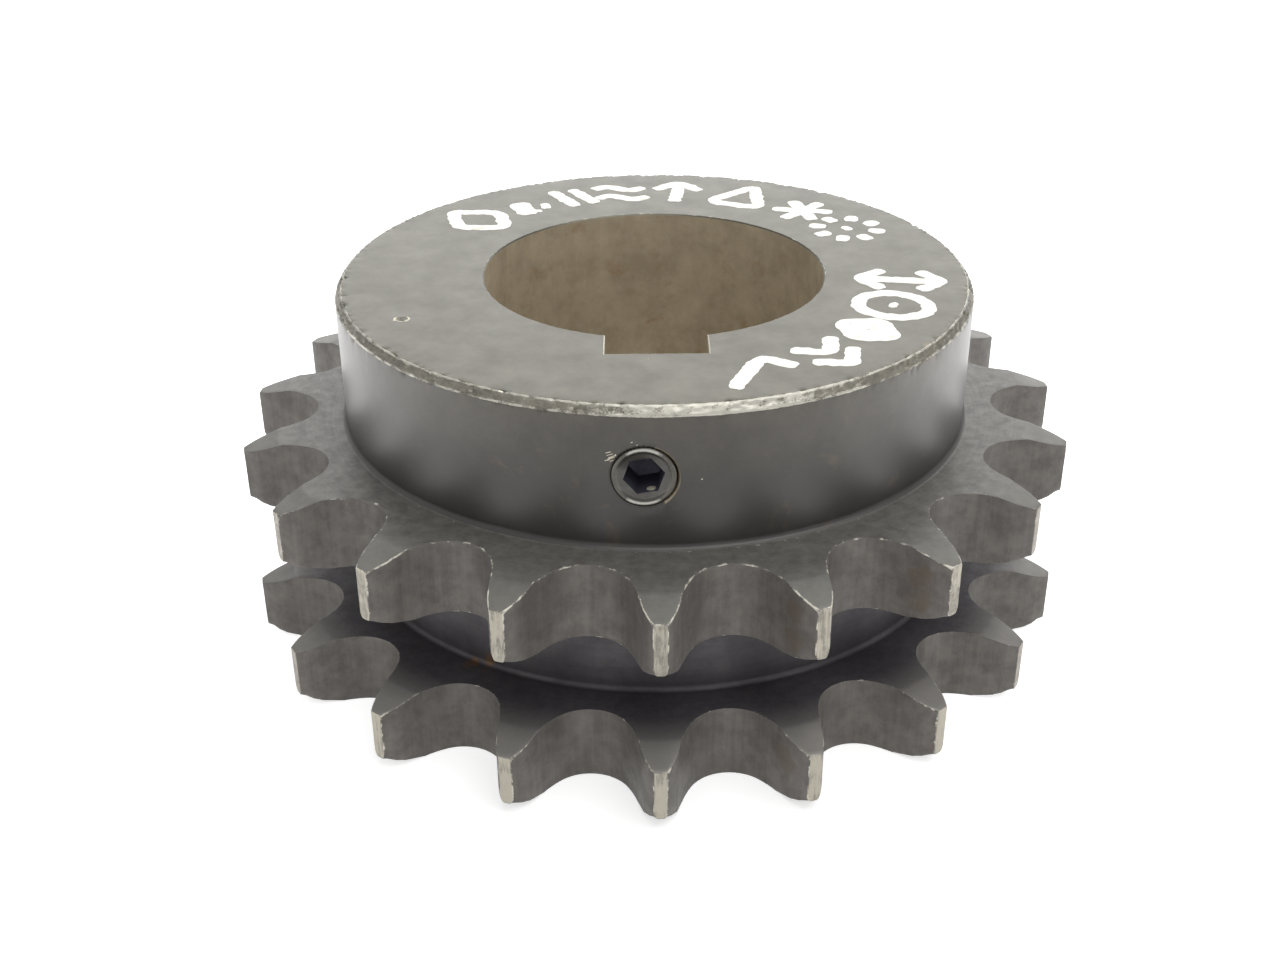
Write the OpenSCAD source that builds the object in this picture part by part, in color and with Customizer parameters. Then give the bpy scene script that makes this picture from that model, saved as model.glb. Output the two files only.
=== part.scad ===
// Two-strand roller chain sprocket with a one-sided hub, keyed bore and two set screws.
// The lower tooth ring stands on z = 0, the shaft's axis is Z, and the keyway faces -Y.
// Sizes are in millimetres.

/* [Chain] */
// Chain pitch, from roller to roller
pitch = 19.05; // [19.0:0.01:19.4]
// Roller diameter
roller_d = 11.91; // [11.7:0.01:12.1]
// Distance between the middles of the two strands
strand_pitch = 22.78; // [19.5:0.01:24]

/* [Tooth rings] */
// Number of teeth on each ring
teeth = 19; // [19:1:30]
// Width of one tooth ring
ring_w = 11.0; // [9:0.1:12]
// Width of the chamfer at the side of a tooth, measured along the radius
tooth_chamfer_r = 5.6; // [3:0.1:6.5]
// Depth of that chamfer at the tooth's tip
tooth_chamfer_z = 1.5; // [0.5:0.1:2.5]
// Diameter of the groove's floor between the rings
groove_d = 94.0; // [80:0.5:96]
// Fillet at both sides of the groove's floor and at the foot of the hub
root_fillet = 0.8; // [0.4:0.1:1.5]

/* [Hub] */
// Hub diameter
hub_d = 94.6; // [80:0.1:96]
// Height of the hub above the upper tooth ring
hub_h = 20.4; // [16:0.1:40]
// Width of the chamfer at the hub's rim, measured along the radius
hub_chamfer_r = 0.85; // [0.3:0.05:1.5]
// Depth of that chamfer along the axis
hub_chamfer_z = 1.15; // [0.3:0.05:2]
// Diameter of the centre-punch mark on the hub's face
punch_d = 1.4; // [0.8:0.1:2]
// Distance of the punch mark from the axis
punch_r = 39.9; // [36:0.1:42]
// Direction of the punch mark, counted from the keyway
punch_turn = -62.7; // [-170:0.1:-20]

/* [Bore] */
// Bore diameter
bore_d = 50.8; // [30:0.1:55]
// Keyway width
key_w = 14.0; // [8:0.1:16]
// Depth of the keyway, measured at its side wall
key_depth = 6.3; // [3:0.1:7]
// Edge break at both ends of the bore
bore_edge = 0.2; // [0.1:0.05:1]

/* [Set screws] */
// Thread diameter (3/8 in)
thread_d = 9.525; // [8:0.005:10]
// Thread pitch (16 threads to the inch)
thread_pitch = 1.5875; // [1:0.0005:1.6]
// Length of a set screw (5/8 in)
screw_l = 15.875; // [12:0.005:16]
// Distance of the screws' axes below the hub's face
screw_drop = 9.9; // [8:0.1:12]
// How far the screw over the keyway lies off the keyway's middle
screw_turn = -2.3; // [-4:0.1:4]
// Direction of the second screw, counted from the keyway
side_screw_turn = 90; // [60:1:120]
// How far a screw's outer end lies below the hub's surface
screw_sink = 0.45; // [0.2:0.05:0.8]
// Hexagon socket, across its flats (3/16 in)
socket_af = 4.76; // [3:0.01:5]
// Depth of the hexagon socket
socket_depth = 5.0; // [3:0.1:6]
// Turn of the hexagon about the screw's own axis
socket_turn = 11; // [0:1:59]

/* [Hidden] */
$fn = 96;

// Pitch circle, tip circle and the heights of the two rings
half_step = 180 / teeth;
pitch_r = pitch / sin(half_step) / 2;
tip_r = pitch * (0.6 + 1 / tan(half_step)) / 2;
upper_z = strand_pitch;
upper_top_z = strand_pitch + ring_w;
body_h = upper_top_z + hub_h;
hub_r = hub_d / 2;
bore_r = bore_d / 2;
groove_r = groove_d / 2;
key_floor_r = sqrt(bore_r * bore_r - key_w * key_w / 4) + key_depth;

// Standard roller-chain tooth form: a seating arc, a working arc, a short flat and a topping arc
seat_r = (1.005 * roller_d + 0.076) / 2;
seat_turn = 35 + 60 / teeth;
work_turn = 18 - 56 / teeth;
work_r = 1.3025 * roller_d + 0.038;
work_back = 0.8 * roller_d;
top_turn = 17 - 64 / teeth;
top_r = roller_d * (0.8 * cos(work_turn) + 1.4 * cos(top_turn) - 1.3025) - 0.038;
flat_l = roller_d * (1.4 * sin(top_turn) - 0.8 * sin(work_turn));

// Points of the right-hand flank, with the middle of the gap on +Y
seat_mid = [0, pitch_r];
work_mid = seat_mid + work_back * [-cos(seat_turn), sin(seat_turn)];
flank_from = -seat_turn;
flank_to = -seat_turn + work_turn;
flank_out = dir(flank_to);
flank_up = [-flank_out.y, flank_out.x];
flat_low = work_mid + work_r * flank_out;
flat_high = flat_low + flat_l * flank_up;
top_mid = flat_high + top_r * flank_out;
mouth_y = tip_r + 3;

// Set screw form
thread_r = thread_d / 2;
engaged_r = thread_r - 0.3248 * thread_pitch;
mouth_r = engaged_r + 0.27;
screw_face_r = 3.5;
screw_chamfer = engaged_r - screw_face_r;
cup_r = 2.4;
cup_depth = 1.1;
point_chamfer = engaged_r - cup_r;
socket_cone = 1.2;
socket_r = socket_af / 2 / cos(30);
screw_z = body_h - screw_drop;
punch_depth = 0.4;

// Clearance by which a cutting body passes the surface that it cuts
past = 1;

function dir(a) = [cos(a), sin(a)];
function flip(p) = [-p.x, p.y];

// A slice of a disc between two directions less than 120 degrees apart
module slice(mid, r, from, to) {
    half = (to - from) / 2;
    reach = 1.3 * r / cos(half / 2);
    translate(mid) intersection() {
        circle(r = r);
        polygon([[0, 0], reach * dir(from), reach * dir(from + half), reach * dir(to)]);
    }
}

// Right-hand half of what the cutter takes out between two teeth, above the seating arc
module flank_side() {
    slice(work_mid, work_r, flank_from, flank_to);
    difference() {
        polygon([seat_mid, flat_low, flat_high, top_mid,
                 [top_mid.x, mouth_y], [0, mouth_y]]);
        translate(top_mid) circle(r = top_r);
    }
}

// Gap between two teeth, its middle on +Y
module tooth_gap() {
    slice(seat_mid, seat_r, -180 + seat_turn, -seat_turn);
    flank_side();
    mirror([1, 0]) flank_side();
}

// Half section of one ring of teeth before its gaps are cut
module ring_section() {
    onset_r = tip_r - tooth_chamfer_r;
    polygon([
        [bore_r, 0], [onset_r, 0], [tip_r, tooth_chamfer_z],
        [tip_r, ring_w - tooth_chamfer_z], [onset_r, ring_w], [bore_r, ring_w]
    ]);
}

// Fillet in an inside corner that opens towards +X and +Y
module corner_fillet(r) {
    difference() {
        square(r);
        translate([r, r]) circle(r = r);
    }
}

// Half section of the turned blank: two rings, the groove between them and the hub
module blank_section() {
    ring_section();
    translate([0, upper_z]) ring_section();
    translate([bore_r, past]) square([groove_r - bore_r, upper_z]);
    translate([groove_r, ring_w]) corner_fillet(root_fillet);
    translate([groove_r, upper_z]) mirror([0, 1]) corner_fillet(root_fillet);
    polygon([
        [bore_r, upper_z + past], [hub_r, upper_z + past], [hub_r, body_h - hub_chamfer_z],
        [hub_r - hub_chamfer_r, body_h], [bore_r, body_h]
    ]);
    translate([hub_r, upper_top_z]) corner_fillet(root_fillet);
}

// Edge breaks of the bore, as a cone at each end
module bore_edges() {
    outer = bore_r + bore_edge + past;
    translate([0, 0, -past]) cylinder(h = bore_edge + past, r1 = outer, r2 = bore_r);
    translate([0, 0, body_h - bore_edge]) cylinder(h = bore_edge + past, r1 = bore_r, r2 = outer);
}

// Keyway, open to the bore and to both ends
module keyway() {
    translate([-key_w / 2, -key_floor_r, -past]) cube([key_w, key_floor_r, body_h + 2 * past]);
}

// Tapped hole at the thread's engaged diameter, with the tap's lead at its mouth
module tapped_hole() {
    lead = mouth_r - engaged_r;
    rotate([90, 0, 0]) {
        cylinder(h = hub_r + past, r = engaged_r);
        translate([0, 0, hub_r - 2 * lead]) cylinder(h = 2 * lead + past, r1 = engaged_r,
                                                    r2 = mouth_r + past / 2);
    }
}

// Puts a child on a set screw's axis, which points out of the hub along -Y before it turns
module on_screw_axis(turn) {
    translate([0, 0, screw_z]) rotate([0, 0, turn]) children();
}

module sprocket_body() {
    color("#4b4a47") difference() {
        rotate_extrude($fn = 180) blank_section();
        for (k = [0 : teeth - 1])
            rotate([0, 0, 180 + (k + 0.5) * 360 / teeth])
                translate([0, 0, -past]) linear_extrude(upper_top_z + 2 * past) tooth_gap();
        keyway();
        bore_edges();
        on_screw_axis(screw_turn) tapped_hole();
        on_screw_axis(side_screw_turn) tapped_hole();
        rotate([0, 0, punch_turn]) translate([0, -punch_r, body_h - punch_depth])
            cylinder(h = punch_depth, r1 = 0, r2 = punch_d / 2);
    }
}

// Cup-point socket set screw along Z, its outer end on z = 0 and its point below
module set_screw() {
    difference() {
        rotate_extrude($fn = 64) polygon([
            [0, 0], [screw_face_r, 0], [engaged_r, -screw_chamfer],
            [engaged_r, point_chamfer - screw_l], [cup_r, -screw_l], [0, cup_depth - screw_l]
        ]);
        translate([0, 0, -socket_depth]) rotate(socket_turn)
            linear_extrude(socket_depth + past) circle(r = socket_r, $fn = 6);
        translate([0, 0, -socket_depth - socket_cone])
            cylinder(h = socket_cone, r1 = 0, r2 = socket_af / 2);
    }
}

module key_set_screw() {
    color("#3c3c3e") on_screw_axis(screw_turn)
        translate([0, -hub_r + screw_sink, 0]) rotate([90, 0, 0]) set_screw();
}

module side_set_screw() {
    color("#3c3c3e") on_screw_axis(side_screw_turn)
        translate([0, -hub_r + screw_sink, 0]) rotate([90, 0, 0]) set_screw();
}

sprocket_body();
key_set_screw();
side_set_screw();
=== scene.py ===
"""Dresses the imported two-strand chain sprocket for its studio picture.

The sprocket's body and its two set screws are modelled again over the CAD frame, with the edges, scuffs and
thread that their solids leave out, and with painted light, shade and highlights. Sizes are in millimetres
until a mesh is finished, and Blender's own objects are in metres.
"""

import logging
import math
import random
from collections.abc import Callable, Sequence
from dataclasses import dataclass
from enum import Enum

import bmesh
import bpy
from bmesh.types import BMEdge, BMesh, BMVert
from mathutils import Matrix, Vector, noise

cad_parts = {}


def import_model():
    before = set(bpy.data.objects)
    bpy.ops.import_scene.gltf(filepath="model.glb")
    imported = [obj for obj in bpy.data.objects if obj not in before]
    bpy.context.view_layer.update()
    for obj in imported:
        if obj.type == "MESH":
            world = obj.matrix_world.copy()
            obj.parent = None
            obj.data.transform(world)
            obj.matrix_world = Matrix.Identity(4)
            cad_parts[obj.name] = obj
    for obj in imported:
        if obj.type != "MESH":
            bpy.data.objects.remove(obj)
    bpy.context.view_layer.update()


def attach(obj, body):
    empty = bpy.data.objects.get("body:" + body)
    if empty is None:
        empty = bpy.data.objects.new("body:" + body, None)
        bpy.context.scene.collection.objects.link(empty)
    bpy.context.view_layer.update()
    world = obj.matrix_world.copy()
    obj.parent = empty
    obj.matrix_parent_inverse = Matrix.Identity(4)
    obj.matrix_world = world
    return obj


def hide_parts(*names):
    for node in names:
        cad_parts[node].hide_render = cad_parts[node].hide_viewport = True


LOG = logging.getLogger("sprocket")
METRES = 0.001
MERGE = 0.001
X_AXIS = Vector((1, 0, 0))
Y_AXIS = Vector((0, 1, 0))
Z_AXIS = Vector((0, 0, 1))
ORIGIN = Vector((0, 0, 0))
# Mesh layer of bright metal: scuffs, and the highlights painted on the set screw's ridge, the hub's foot and
# the rim's front
WEAR_AND_HIGHLIGHT = "wear_and_highlight"
WEAR_AND_HIGHLIGHT_POWER = 4
RUST = "rust"
# Within this distance a point counts as lying on a surface
NEAR = 0.02
# Depth of a thread's pitch line below its crest, in pitches
PITCH_LINE = 0.3248


def direction(angle: float) -> Vector:
    """Returns the unit vector in the XY plane at an angle from +X, in radians."""
    return Vector((math.cos(angle), math.sin(angle), 0))


def on_circle(radius: float, turn: float, z: float = 0) -> Vector:
    """Returns the point at a radius from the axis, turned clockwise from +Y, in radians."""
    return Vector((radius * math.sin(turn), radius * math.cos(turn), z))


def radius_of(point: Vector) -> float:
    """Returns a point's distance from the sprocket's axis."""
    return math.hypot(point.x, point.y)


def turn_of(point: Vector) -> float:
    """Returns a point's turn about the axis, clockwise from +Y, in radians."""
    return math.atan2(point.x, point.y)


def smooth_step(low: float, high: float, value: float) -> float:
    """Returns 0 below low, 1 above high and a smooth ramp between them."""
    share = min(1.0, max(0.0, (value - low) / (high - low)))
    return share * share * (3 - 2 * share)


def meeting_angle(centre: Vector, radius: float, about_axis: float, side: int) -> float:
    """Finds where a circle crosses a circle about the sprocket's axis.

    Args:
        centre: Middle of the first circle.
        radius: Radius of the first circle.
        about_axis: Radius of the circle about the axis.
        side: 1 for the crossing further anticlockwise, -1 for the other.

    Returns:
        The crossing's angle from +X, seen from centre.
    """
    reach = centre.length
    cosine = (about_axis**2 - reach**2 - radius**2) / (2 * radius * reach)
    return math.atan2(centre.y, centre.x) + side * math.acos(cosine)


@dataclass(frozen=True)
class Sizes:
    """Driving sizes of the sprocket, as in its drawing."""

    pitch: float = 19.05
    roller: float = 11.91
    strand_pitch: float = 22.78
    teeth: int = 19
    ring_w: float = 11.0
    tooth_chamfer_r: float = 5.6
    tooth_chamfer_z: float = 1.5
    groove_d: float = 94.0
    root_fillet: float = 0.8
    hub_d: float = 94.6
    hub_h: float = 20.4
    hub_chamfer_r: float = 0.85
    hub_chamfer_z: float = 1.15
    bore_d: float = 50.8
    bore_edge: float = 0.2
    key_w: float = 14.0
    key_depth: float = 6.3
    key_edge: float = 0.12
    key_guard: float = 0.12
    edge_break: float = 0.13
    tip_rounding: float = 0.42
    thread_d: float = 9.525
    thread_pitch: float = 1.5875
    screw_l: float = 15.875
    screw_drop: float = 9.9
    screw_sink: float = 0.45
    screw_turns: tuple[float, float] = (-2.3, 90.0)
    socket_af: float = 4.76
    socket_depth: float = 5.0
    socket_turn: float = 11.0
    punch_d: float = 1.4
    punch_depth: float = 0.4
    punch_r: float = 39.9
    punch_turn: float = -62.7
    paint_h: float = 0.06

    @property
    def half_step(self) -> float:
        """Half of the angle from tooth to tooth, in radians."""
        return math.pi / self.teeth

    @property
    def pitch_r(self) -> float:
        """Radius of the pitch circle."""
        return self.pitch / math.sin(self.half_step) / 2

    @property
    def tip_r(self) -> float:
        """Radius over the teeth's tips."""
        return self.pitch * (0.6 + 1 / math.tan(self.half_step)) / 2

    @property
    def onset_r(self) -> float:
        """Radius at which the chamfer at a tooth's side begins."""
        return self.tip_r - self.tooth_chamfer_r

    @property
    def hub_r(self) -> float:
        """Radius of the hub."""
        return self.hub_d / 2

    @property
    def groove_r(self) -> float:
        """Radius of the groove's floor."""
        return self.groove_d / 2

    @property
    def bore_r(self) -> float:
        """Radius of the bore."""
        return self.bore_d / 2

    @property
    def key_floor(self) -> float:
        """Distance of the keyway's floor from the axis."""
        return math.sqrt(self.bore_r**2 - self.key_w**2 / 4) + self.key_depth

    @property
    def ring_top(self) -> float:
        """Height of the upper ring's upper face."""
        return self.strand_pitch + self.ring_w

    @property
    def body_h(self) -> float:
        """Length through the bore."""
        return self.ring_top + self.hub_h

    @property
    def face_z(self) -> float:
        """Height of the bare hub face, which leaves the paint's thickness below the full height."""
        return self.body_h - self.paint_h

    @property
    def screw_z(self) -> float:
        """Height of the set screws' axes."""
        return self.body_h - self.screw_drop

    @property
    def engaged_r(self) -> float:
        """Radius at which a set screw's thread meets that of its hole."""
        return self.thread_d / 2 - PITCH_LINE * self.thread_pitch

    @property
    def bore_out(self) -> float:
        """Radius at which the bore's edge break meets a face."""
        return self.bore_r + self.bore_edge

    @property
    def rim_in(self) -> float:
        """Radius at which the rim's chamfer begins."""
        return self.hub_r - self.hub_chamfer_r

    @property
    def rim_low(self) -> float:
        """Height at which the rim's chamfer ends."""
        return self.face_z - self.hub_chamfer_z

    @property
    def foot_r(self) -> float:
        """Radius at which the hub's foot runs into the upper ring."""
        return self.hub_r + self.root_fillet


@dataclass(frozen=True)
class ToothForm:
    """Standard roller-chain tooth form: seating arc, working arc, short flat and topping arc.

    Its numbers are the standard's own.
    """

    sizes: Sizes

    @property
    def seat_r(self) -> float:
        """Radius of the seating arc, which holds the roller."""
        return (1.005 * self.sizes.roller + 0.076) / 2

    @property
    def seat_turn(self) -> float:
        """Angle below the horizontal at which the seating arc ends."""
        return math.radians(35 + 60 / self.sizes.teeth)

    @property
    def work_turn(self) -> float:
        """Sweep of the working arc."""
        return math.radians(18 - 56 / self.sizes.teeth)

    @property
    def work_r(self) -> float:
        """Radius of the working arc."""
        return 1.3025 * self.sizes.roller + 0.038

    @property
    def top_turn(self) -> float:
        """Angle that sets the topping arc."""
        return math.radians(17 - 64 / self.sizes.teeth)

    @property
    def top_r(self) -> float:
        """Radius of the topping arc, which lets the roller in."""
        reach = 0.8 * math.cos(self.work_turn) + 1.4 * math.cos(self.top_turn) - 1.3025
        return self.sizes.roller * reach - 0.038

    @property
    def flat(self) -> float:
        """Length of the flat between the working arc and the topping arc."""
        return self.sizes.roller * (1.4 * math.sin(self.top_turn) - 0.8 * math.sin(self.work_turn))

    @property
    def seat_mid(self) -> Vector:
        """Middle of the seating arc, which is the roller's own."""
        return Vector((0, self.sizes.pitch_r, 0))

    @property
    def work_mid(self) -> Vector:
        """Middle of the working arc."""
        back = 0.8 * self.sizes.roller
        return self.seat_mid + back * Vector((-math.cos(self.seat_turn), math.sin(self.seat_turn), 0))

    @property
    def flank(self) -> Vector:
        """Direction from the working arc's middle to the flat."""
        return direction(self.work_turn - self.seat_turn)

    @property
    def flat_low(self) -> Vector:
        """Lower end of the flat."""
        return self.work_mid + self.work_r * self.flank

    @property
    def flat_high(self) -> Vector:
        """Upper end of the flat."""
        return self.flat_low + self.flat * Vector((-self.flank.y, self.flank.x, 0))

    @property
    def top_mid(self) -> Vector:
        """Middle of the topping arc."""
        return self.flat_high + self.top_r * self.flank


@dataclass(frozen=True)
class Divisions:
    """How finely the sprocket's body is divided."""

    seat: int = 9
    work_low: int = 4
    work_high: int = 1
    topping: int = 4
    tooth: int = 5
    first_tooth_step: float = 0.34
    face_rows: int = 3
    wall_rows: int = 6
    first_wall_step: float = 0.1
    fillet: int = 4
    bore_rows: int = 10
    side_rows: int = 9
    rim_rows: int = 5
    face_steps: int = 3
    key_floor: int = 25
    key_side: int = 5
    groove_rows: int = 4
    tap_columns: int = 40
    tap_rows: int = 7
    punch_sides: int = 20
    tip_rounding: int = 3
    edge_break: int = 2

    @property
    def half_sector(self) -> int:
        """Number of columns from the middle of a gap to the middle of a tooth."""
        return self.seat + self.work_low + self.tooth

    @property
    def key_half(self) -> int:
        """Number of columns from the keyway's middle to its edge at the bore."""
        return self.key_floor + self.key_side


class Chain:
    """A row of vertices joined by edges, traced through a mesh as a cutter's edge would be."""

    def __init__(self, mesh: BMesh, start: Vector) -> None:
        """Starts the chain with one vertex."""
        self.mesh = mesh
        self.verts: list[BMVert] = [mesh.verts.new(start)]

    @property
    def end(self) -> BMVert:
        """The chain's last vertex."""
        return self.verts[-1]

    def line(self, goal: Vector, steps: int = 1) -> "Chain":
        """Traces a straight stretch.

        Args:
            goal: Where the stretch ends.
            steps: Number of edges in it.

        Returns:
            The chain itself.
        """
        start = self.end.co.copy()
        for step in range(1, steps + 1):
            grown = bmesh.ops.extrude_vert_indiv(self.mesh, verts=[self.end])["verts"][0]
            grown.co = start.lerp(goal, step / steps)
            self.verts.append(grown)
        return self

    def arc(self, centre: Vector, axis: Vector, angle: float, steps: int) -> "Chain":
        """Traces an arc.

        Args:
            centre: Middle of the arc.
            axis: Axis about which it turns.
            angle: Its sweep, in radians.
            steps: Number of edges in it.

        Returns:
            The chain itself.
        """
        bmesh.ops.spin(self.mesh, geom=[self.end], cent=centre, axis=axis, angle=angle, steps=steps)
        for _ in range(steps):
            ends = (edge.other_vert(self.end) for edge in self.end.link_edges)
            self.verts.append(next(vert for vert in ends if vert not in self.verts))
        return self

    def edges(self, first: int = 0) -> list[BMEdge]:
        """Returns the chain's edges from its vertex number first on."""
        pairs = zip(self.verts[first:], self.verts[first + 1 :])
        return [self.mesh.edges.get(pair) for pair in pairs]


def grow_rows(
    mesh: BMesh, edges: list[BMEdge], rows: int, place: Callable[[list[BMVert], int], None]
) -> list[BMEdge]:
    """Extrudes a chain of edges row by row.

    Args:
        mesh: Mesh that holds the edges.
        edges: The chain to start from.
        rows: Number of rows of faces.
        place: Moves the new vertices, which start on the last row; its second argument counts rows down to 1.

    Returns:
        The last row's edges.
    """
    for left in range(rows, 0, -1):
        grown = bmesh.ops.extrude_edge_only(mesh, edges=edges)["geom"]
        place([item for item in grown if isinstance(item, BMVert)], left)
        edges = [item for item in grown if isinstance(item, BMEdge)]
    return edges


def pour(mesh: BMesh, part: BMesh, place: Matrix) -> None:
    """Adds a placed copy of one mesh to another.

    Args:
        mesh: Mesh that grows.
        part: Mesh that is copied.
        place: Where the copy goes.
    """
    carrier = bpy.data.meshes.new("carrier")
    part.to_mesh(carrier)
    carrier.transform(place)
    mesh.from_mesh(carrier)
    bpy.data.meshes.remove(carrier)


def weld(mesh: BMesh) -> None:
    """Merges the vertices that lie on each other."""
    bmesh.ops.remove_doubles(mesh, verts=mesh.verts, dist=MERGE)


def as_object(mesh: BMesh, name: str) -> bpy.types.Object:
    """Turns a finished mesh into an object of the scene and frees it."""
    data = bpy.data.meshes.new(name)
    mesh.to_mesh(data)
    mesh.free()
    made = bpy.data.objects.new(name, data)
    bpy.context.scene.collection.objects.link(made)
    return made


def carve(body: bpy.types.Object, cutters: Sequence[bpy.types.Object]) -> None:
    """Takes the cutters out of a body and removes them.

    Args:
        body: Object whose mesh is cut.
        cutters: Closed objects that cut it.
    """
    for cutter in cutters:
        cut = body.modifiers.new(cutter.name, "BOOLEAN")
        cut.operation = "DIFFERENCE"
        cut.solver = "EXACT"
        cut.object = cutter
    depsgraph = bpy.context.evaluated_depsgraph_get()
    carved = bpy.data.meshes.new_from_object(body.evaluated_get(depsgraph))
    body.modifiers.clear()
    body.data = carved
    for cutter in cutters:
        bpy.data.objects.remove(cutter)


@dataclass(frozen=True)
class Thread:
    """A 60-degree screw thread with a flat crest and root."""

    root_r: float
    crest_r: float
    lead: float
    crest_share: float = 0.18
    root_share: float = 0.22

    def radius(self, turn: float, along: float) -> float:
        """Returns the thread's radius at a turn about its axis, in radians, and a distance along it."""
        phase = (along / self.lead - turn / math.tau) % 1.0
        height = 1 - abs(2 * phase - 1)
        share = (height - self.root_share) / (1 - self.crest_share - self.root_share)
        return self.root_r + (self.crest_r - self.root_r) * min(1.0, max(0.0, share))


# Faces that meet at a smaller angle are shaded as one surface
SMOOTH_UP_TO = math.radians(38)


def hard_edges(piece: bpy.types.Object) -> None:
    """Marks the edges that still meet at an angle as hard and lets large faces lead the shading."""
    piece.data.set_sharp_from_angle(angle=SMOOTH_UP_TO)
    shading = piece.modifiers.new("face_weighted_shading", "WEIGHTED_NORMAL")
    shading.keep_sharp = True


def linear(sheet_colour: str) -> tuple[float, float, float, float]:
    """Turns an sRGB hex colour into the linear colour that a shader takes."""
    channels = [int(sheet_colour[start : start + 2], 16) / 255 for start in (1, 3, 5)]
    toned = [c / 12.92 if c <= 0.04045 else ((c + 0.055) / 1.055) ** 2.4 for c in channels]
    return (*toned, 1.0)


def per_mm(size: float) -> float:
    """Returns the texture scale at which a pattern repeats about every size millimetres."""
    return 1 / (size * METRES)


def add_node(
    tree: bpy.types.NodeTree, kind: str, settings: dict | None = None, links: dict | None = None
) -> bpy.types.Node:
    """Adds a node with its settings and links.

    Args:
        tree: Node tree of the material or world.
        kind: Blender's name for the node's type.
        settings: Properties by name, and values of inputs by name or number.
        links: Outputs that feed inputs, by the input's name or number.

    Returns:
        The new node.
    """
    node = tree.nodes.new(kind)
    for key, value in (settings or {}).items():
        if isinstance(key, int) or key in node.inputs:
            node.inputs[key].default_value = value
        else:
            setattr(node, key, value)
    for key, output in (links or {}).items():
        tree.links.new(output, node.inputs[key])
    return node


def start_material(name: str) -> tuple[bpy.types.Material, bpy.types.NodeTree, bpy.types.Node]:
    """Starts a material and returns it with its node tree and its shader."""
    made = bpy.data.materials.new(name)
    made.use_nodes = True
    return made, made.node_tree, made.node_tree.nodes["Principled BSDF"]


def film_object(mesh: BMesh, name: str, material: bpy.types.Material) -> bpy.types.Object:
    """Turns the mesh of thin films, in millimetres, into a smooth object.

    Args:
        mesh: The films, whose mesh is freed.
        name: The object's name.
        material: Its only material.

    Returns:
        The object, in metres.
    """
    bmesh.ops.recalc_face_normals(mesh, faces=mesh.faces)
    bmesh.ops.scale(mesh, vec=(METRES, METRES, METRES), verts=mesh.verts)
    films = as_object(mesh, name)
    for polygon in films.data.polygons:
        polygon.use_smooth = True
    films.data.materials.append(material)
    return films


# Sockets of a Mix node that mixes colours
MIX_A = 6
MIX_B = 7
MIX_RESULT = 2
# How far a thin coat of oil scatters light, and how much of the steel's colour the painted light and shade
# hide at most
OIL_ROUGHNESS = 0.4
PAINTED_TONE_COVER = 0.65
# Scales that draw the marks of a cut out along themselves
SIDE_DRAW = (0.04, 0.04, 1.0)
AXIS_DRAW = (1.0, 1.0, 0.05)
# Values of the noises at which oxide clouds, rust, and bright metal of scuffs and painted highlights begin
# and end
CLOUD_FROM = 0.36
CLOUD_SPAN = 0.3
RUST_FROM = 0.66
RUST_TO = 0.84
RUST_EASE = 0.3
RUST_COVER = 0.8
STAIN_PULL = 0.42
CHIP_EDGE = 0.12
# Size of rust spots, as a share of the clouds'
RUST_SPOTS = 0.7


class Grain(Enum):
    """Which way the marks of the last cut run."""

    TURNED_SIDE = "rings one above the other, as turning leaves them on a hub's side"
    TURNED_FACE = "rings about the axis, as facing leaves them on a flat end"
    ALONG_AXIS = "lines along the axis, as hobbing and broaching leave them"


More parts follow.
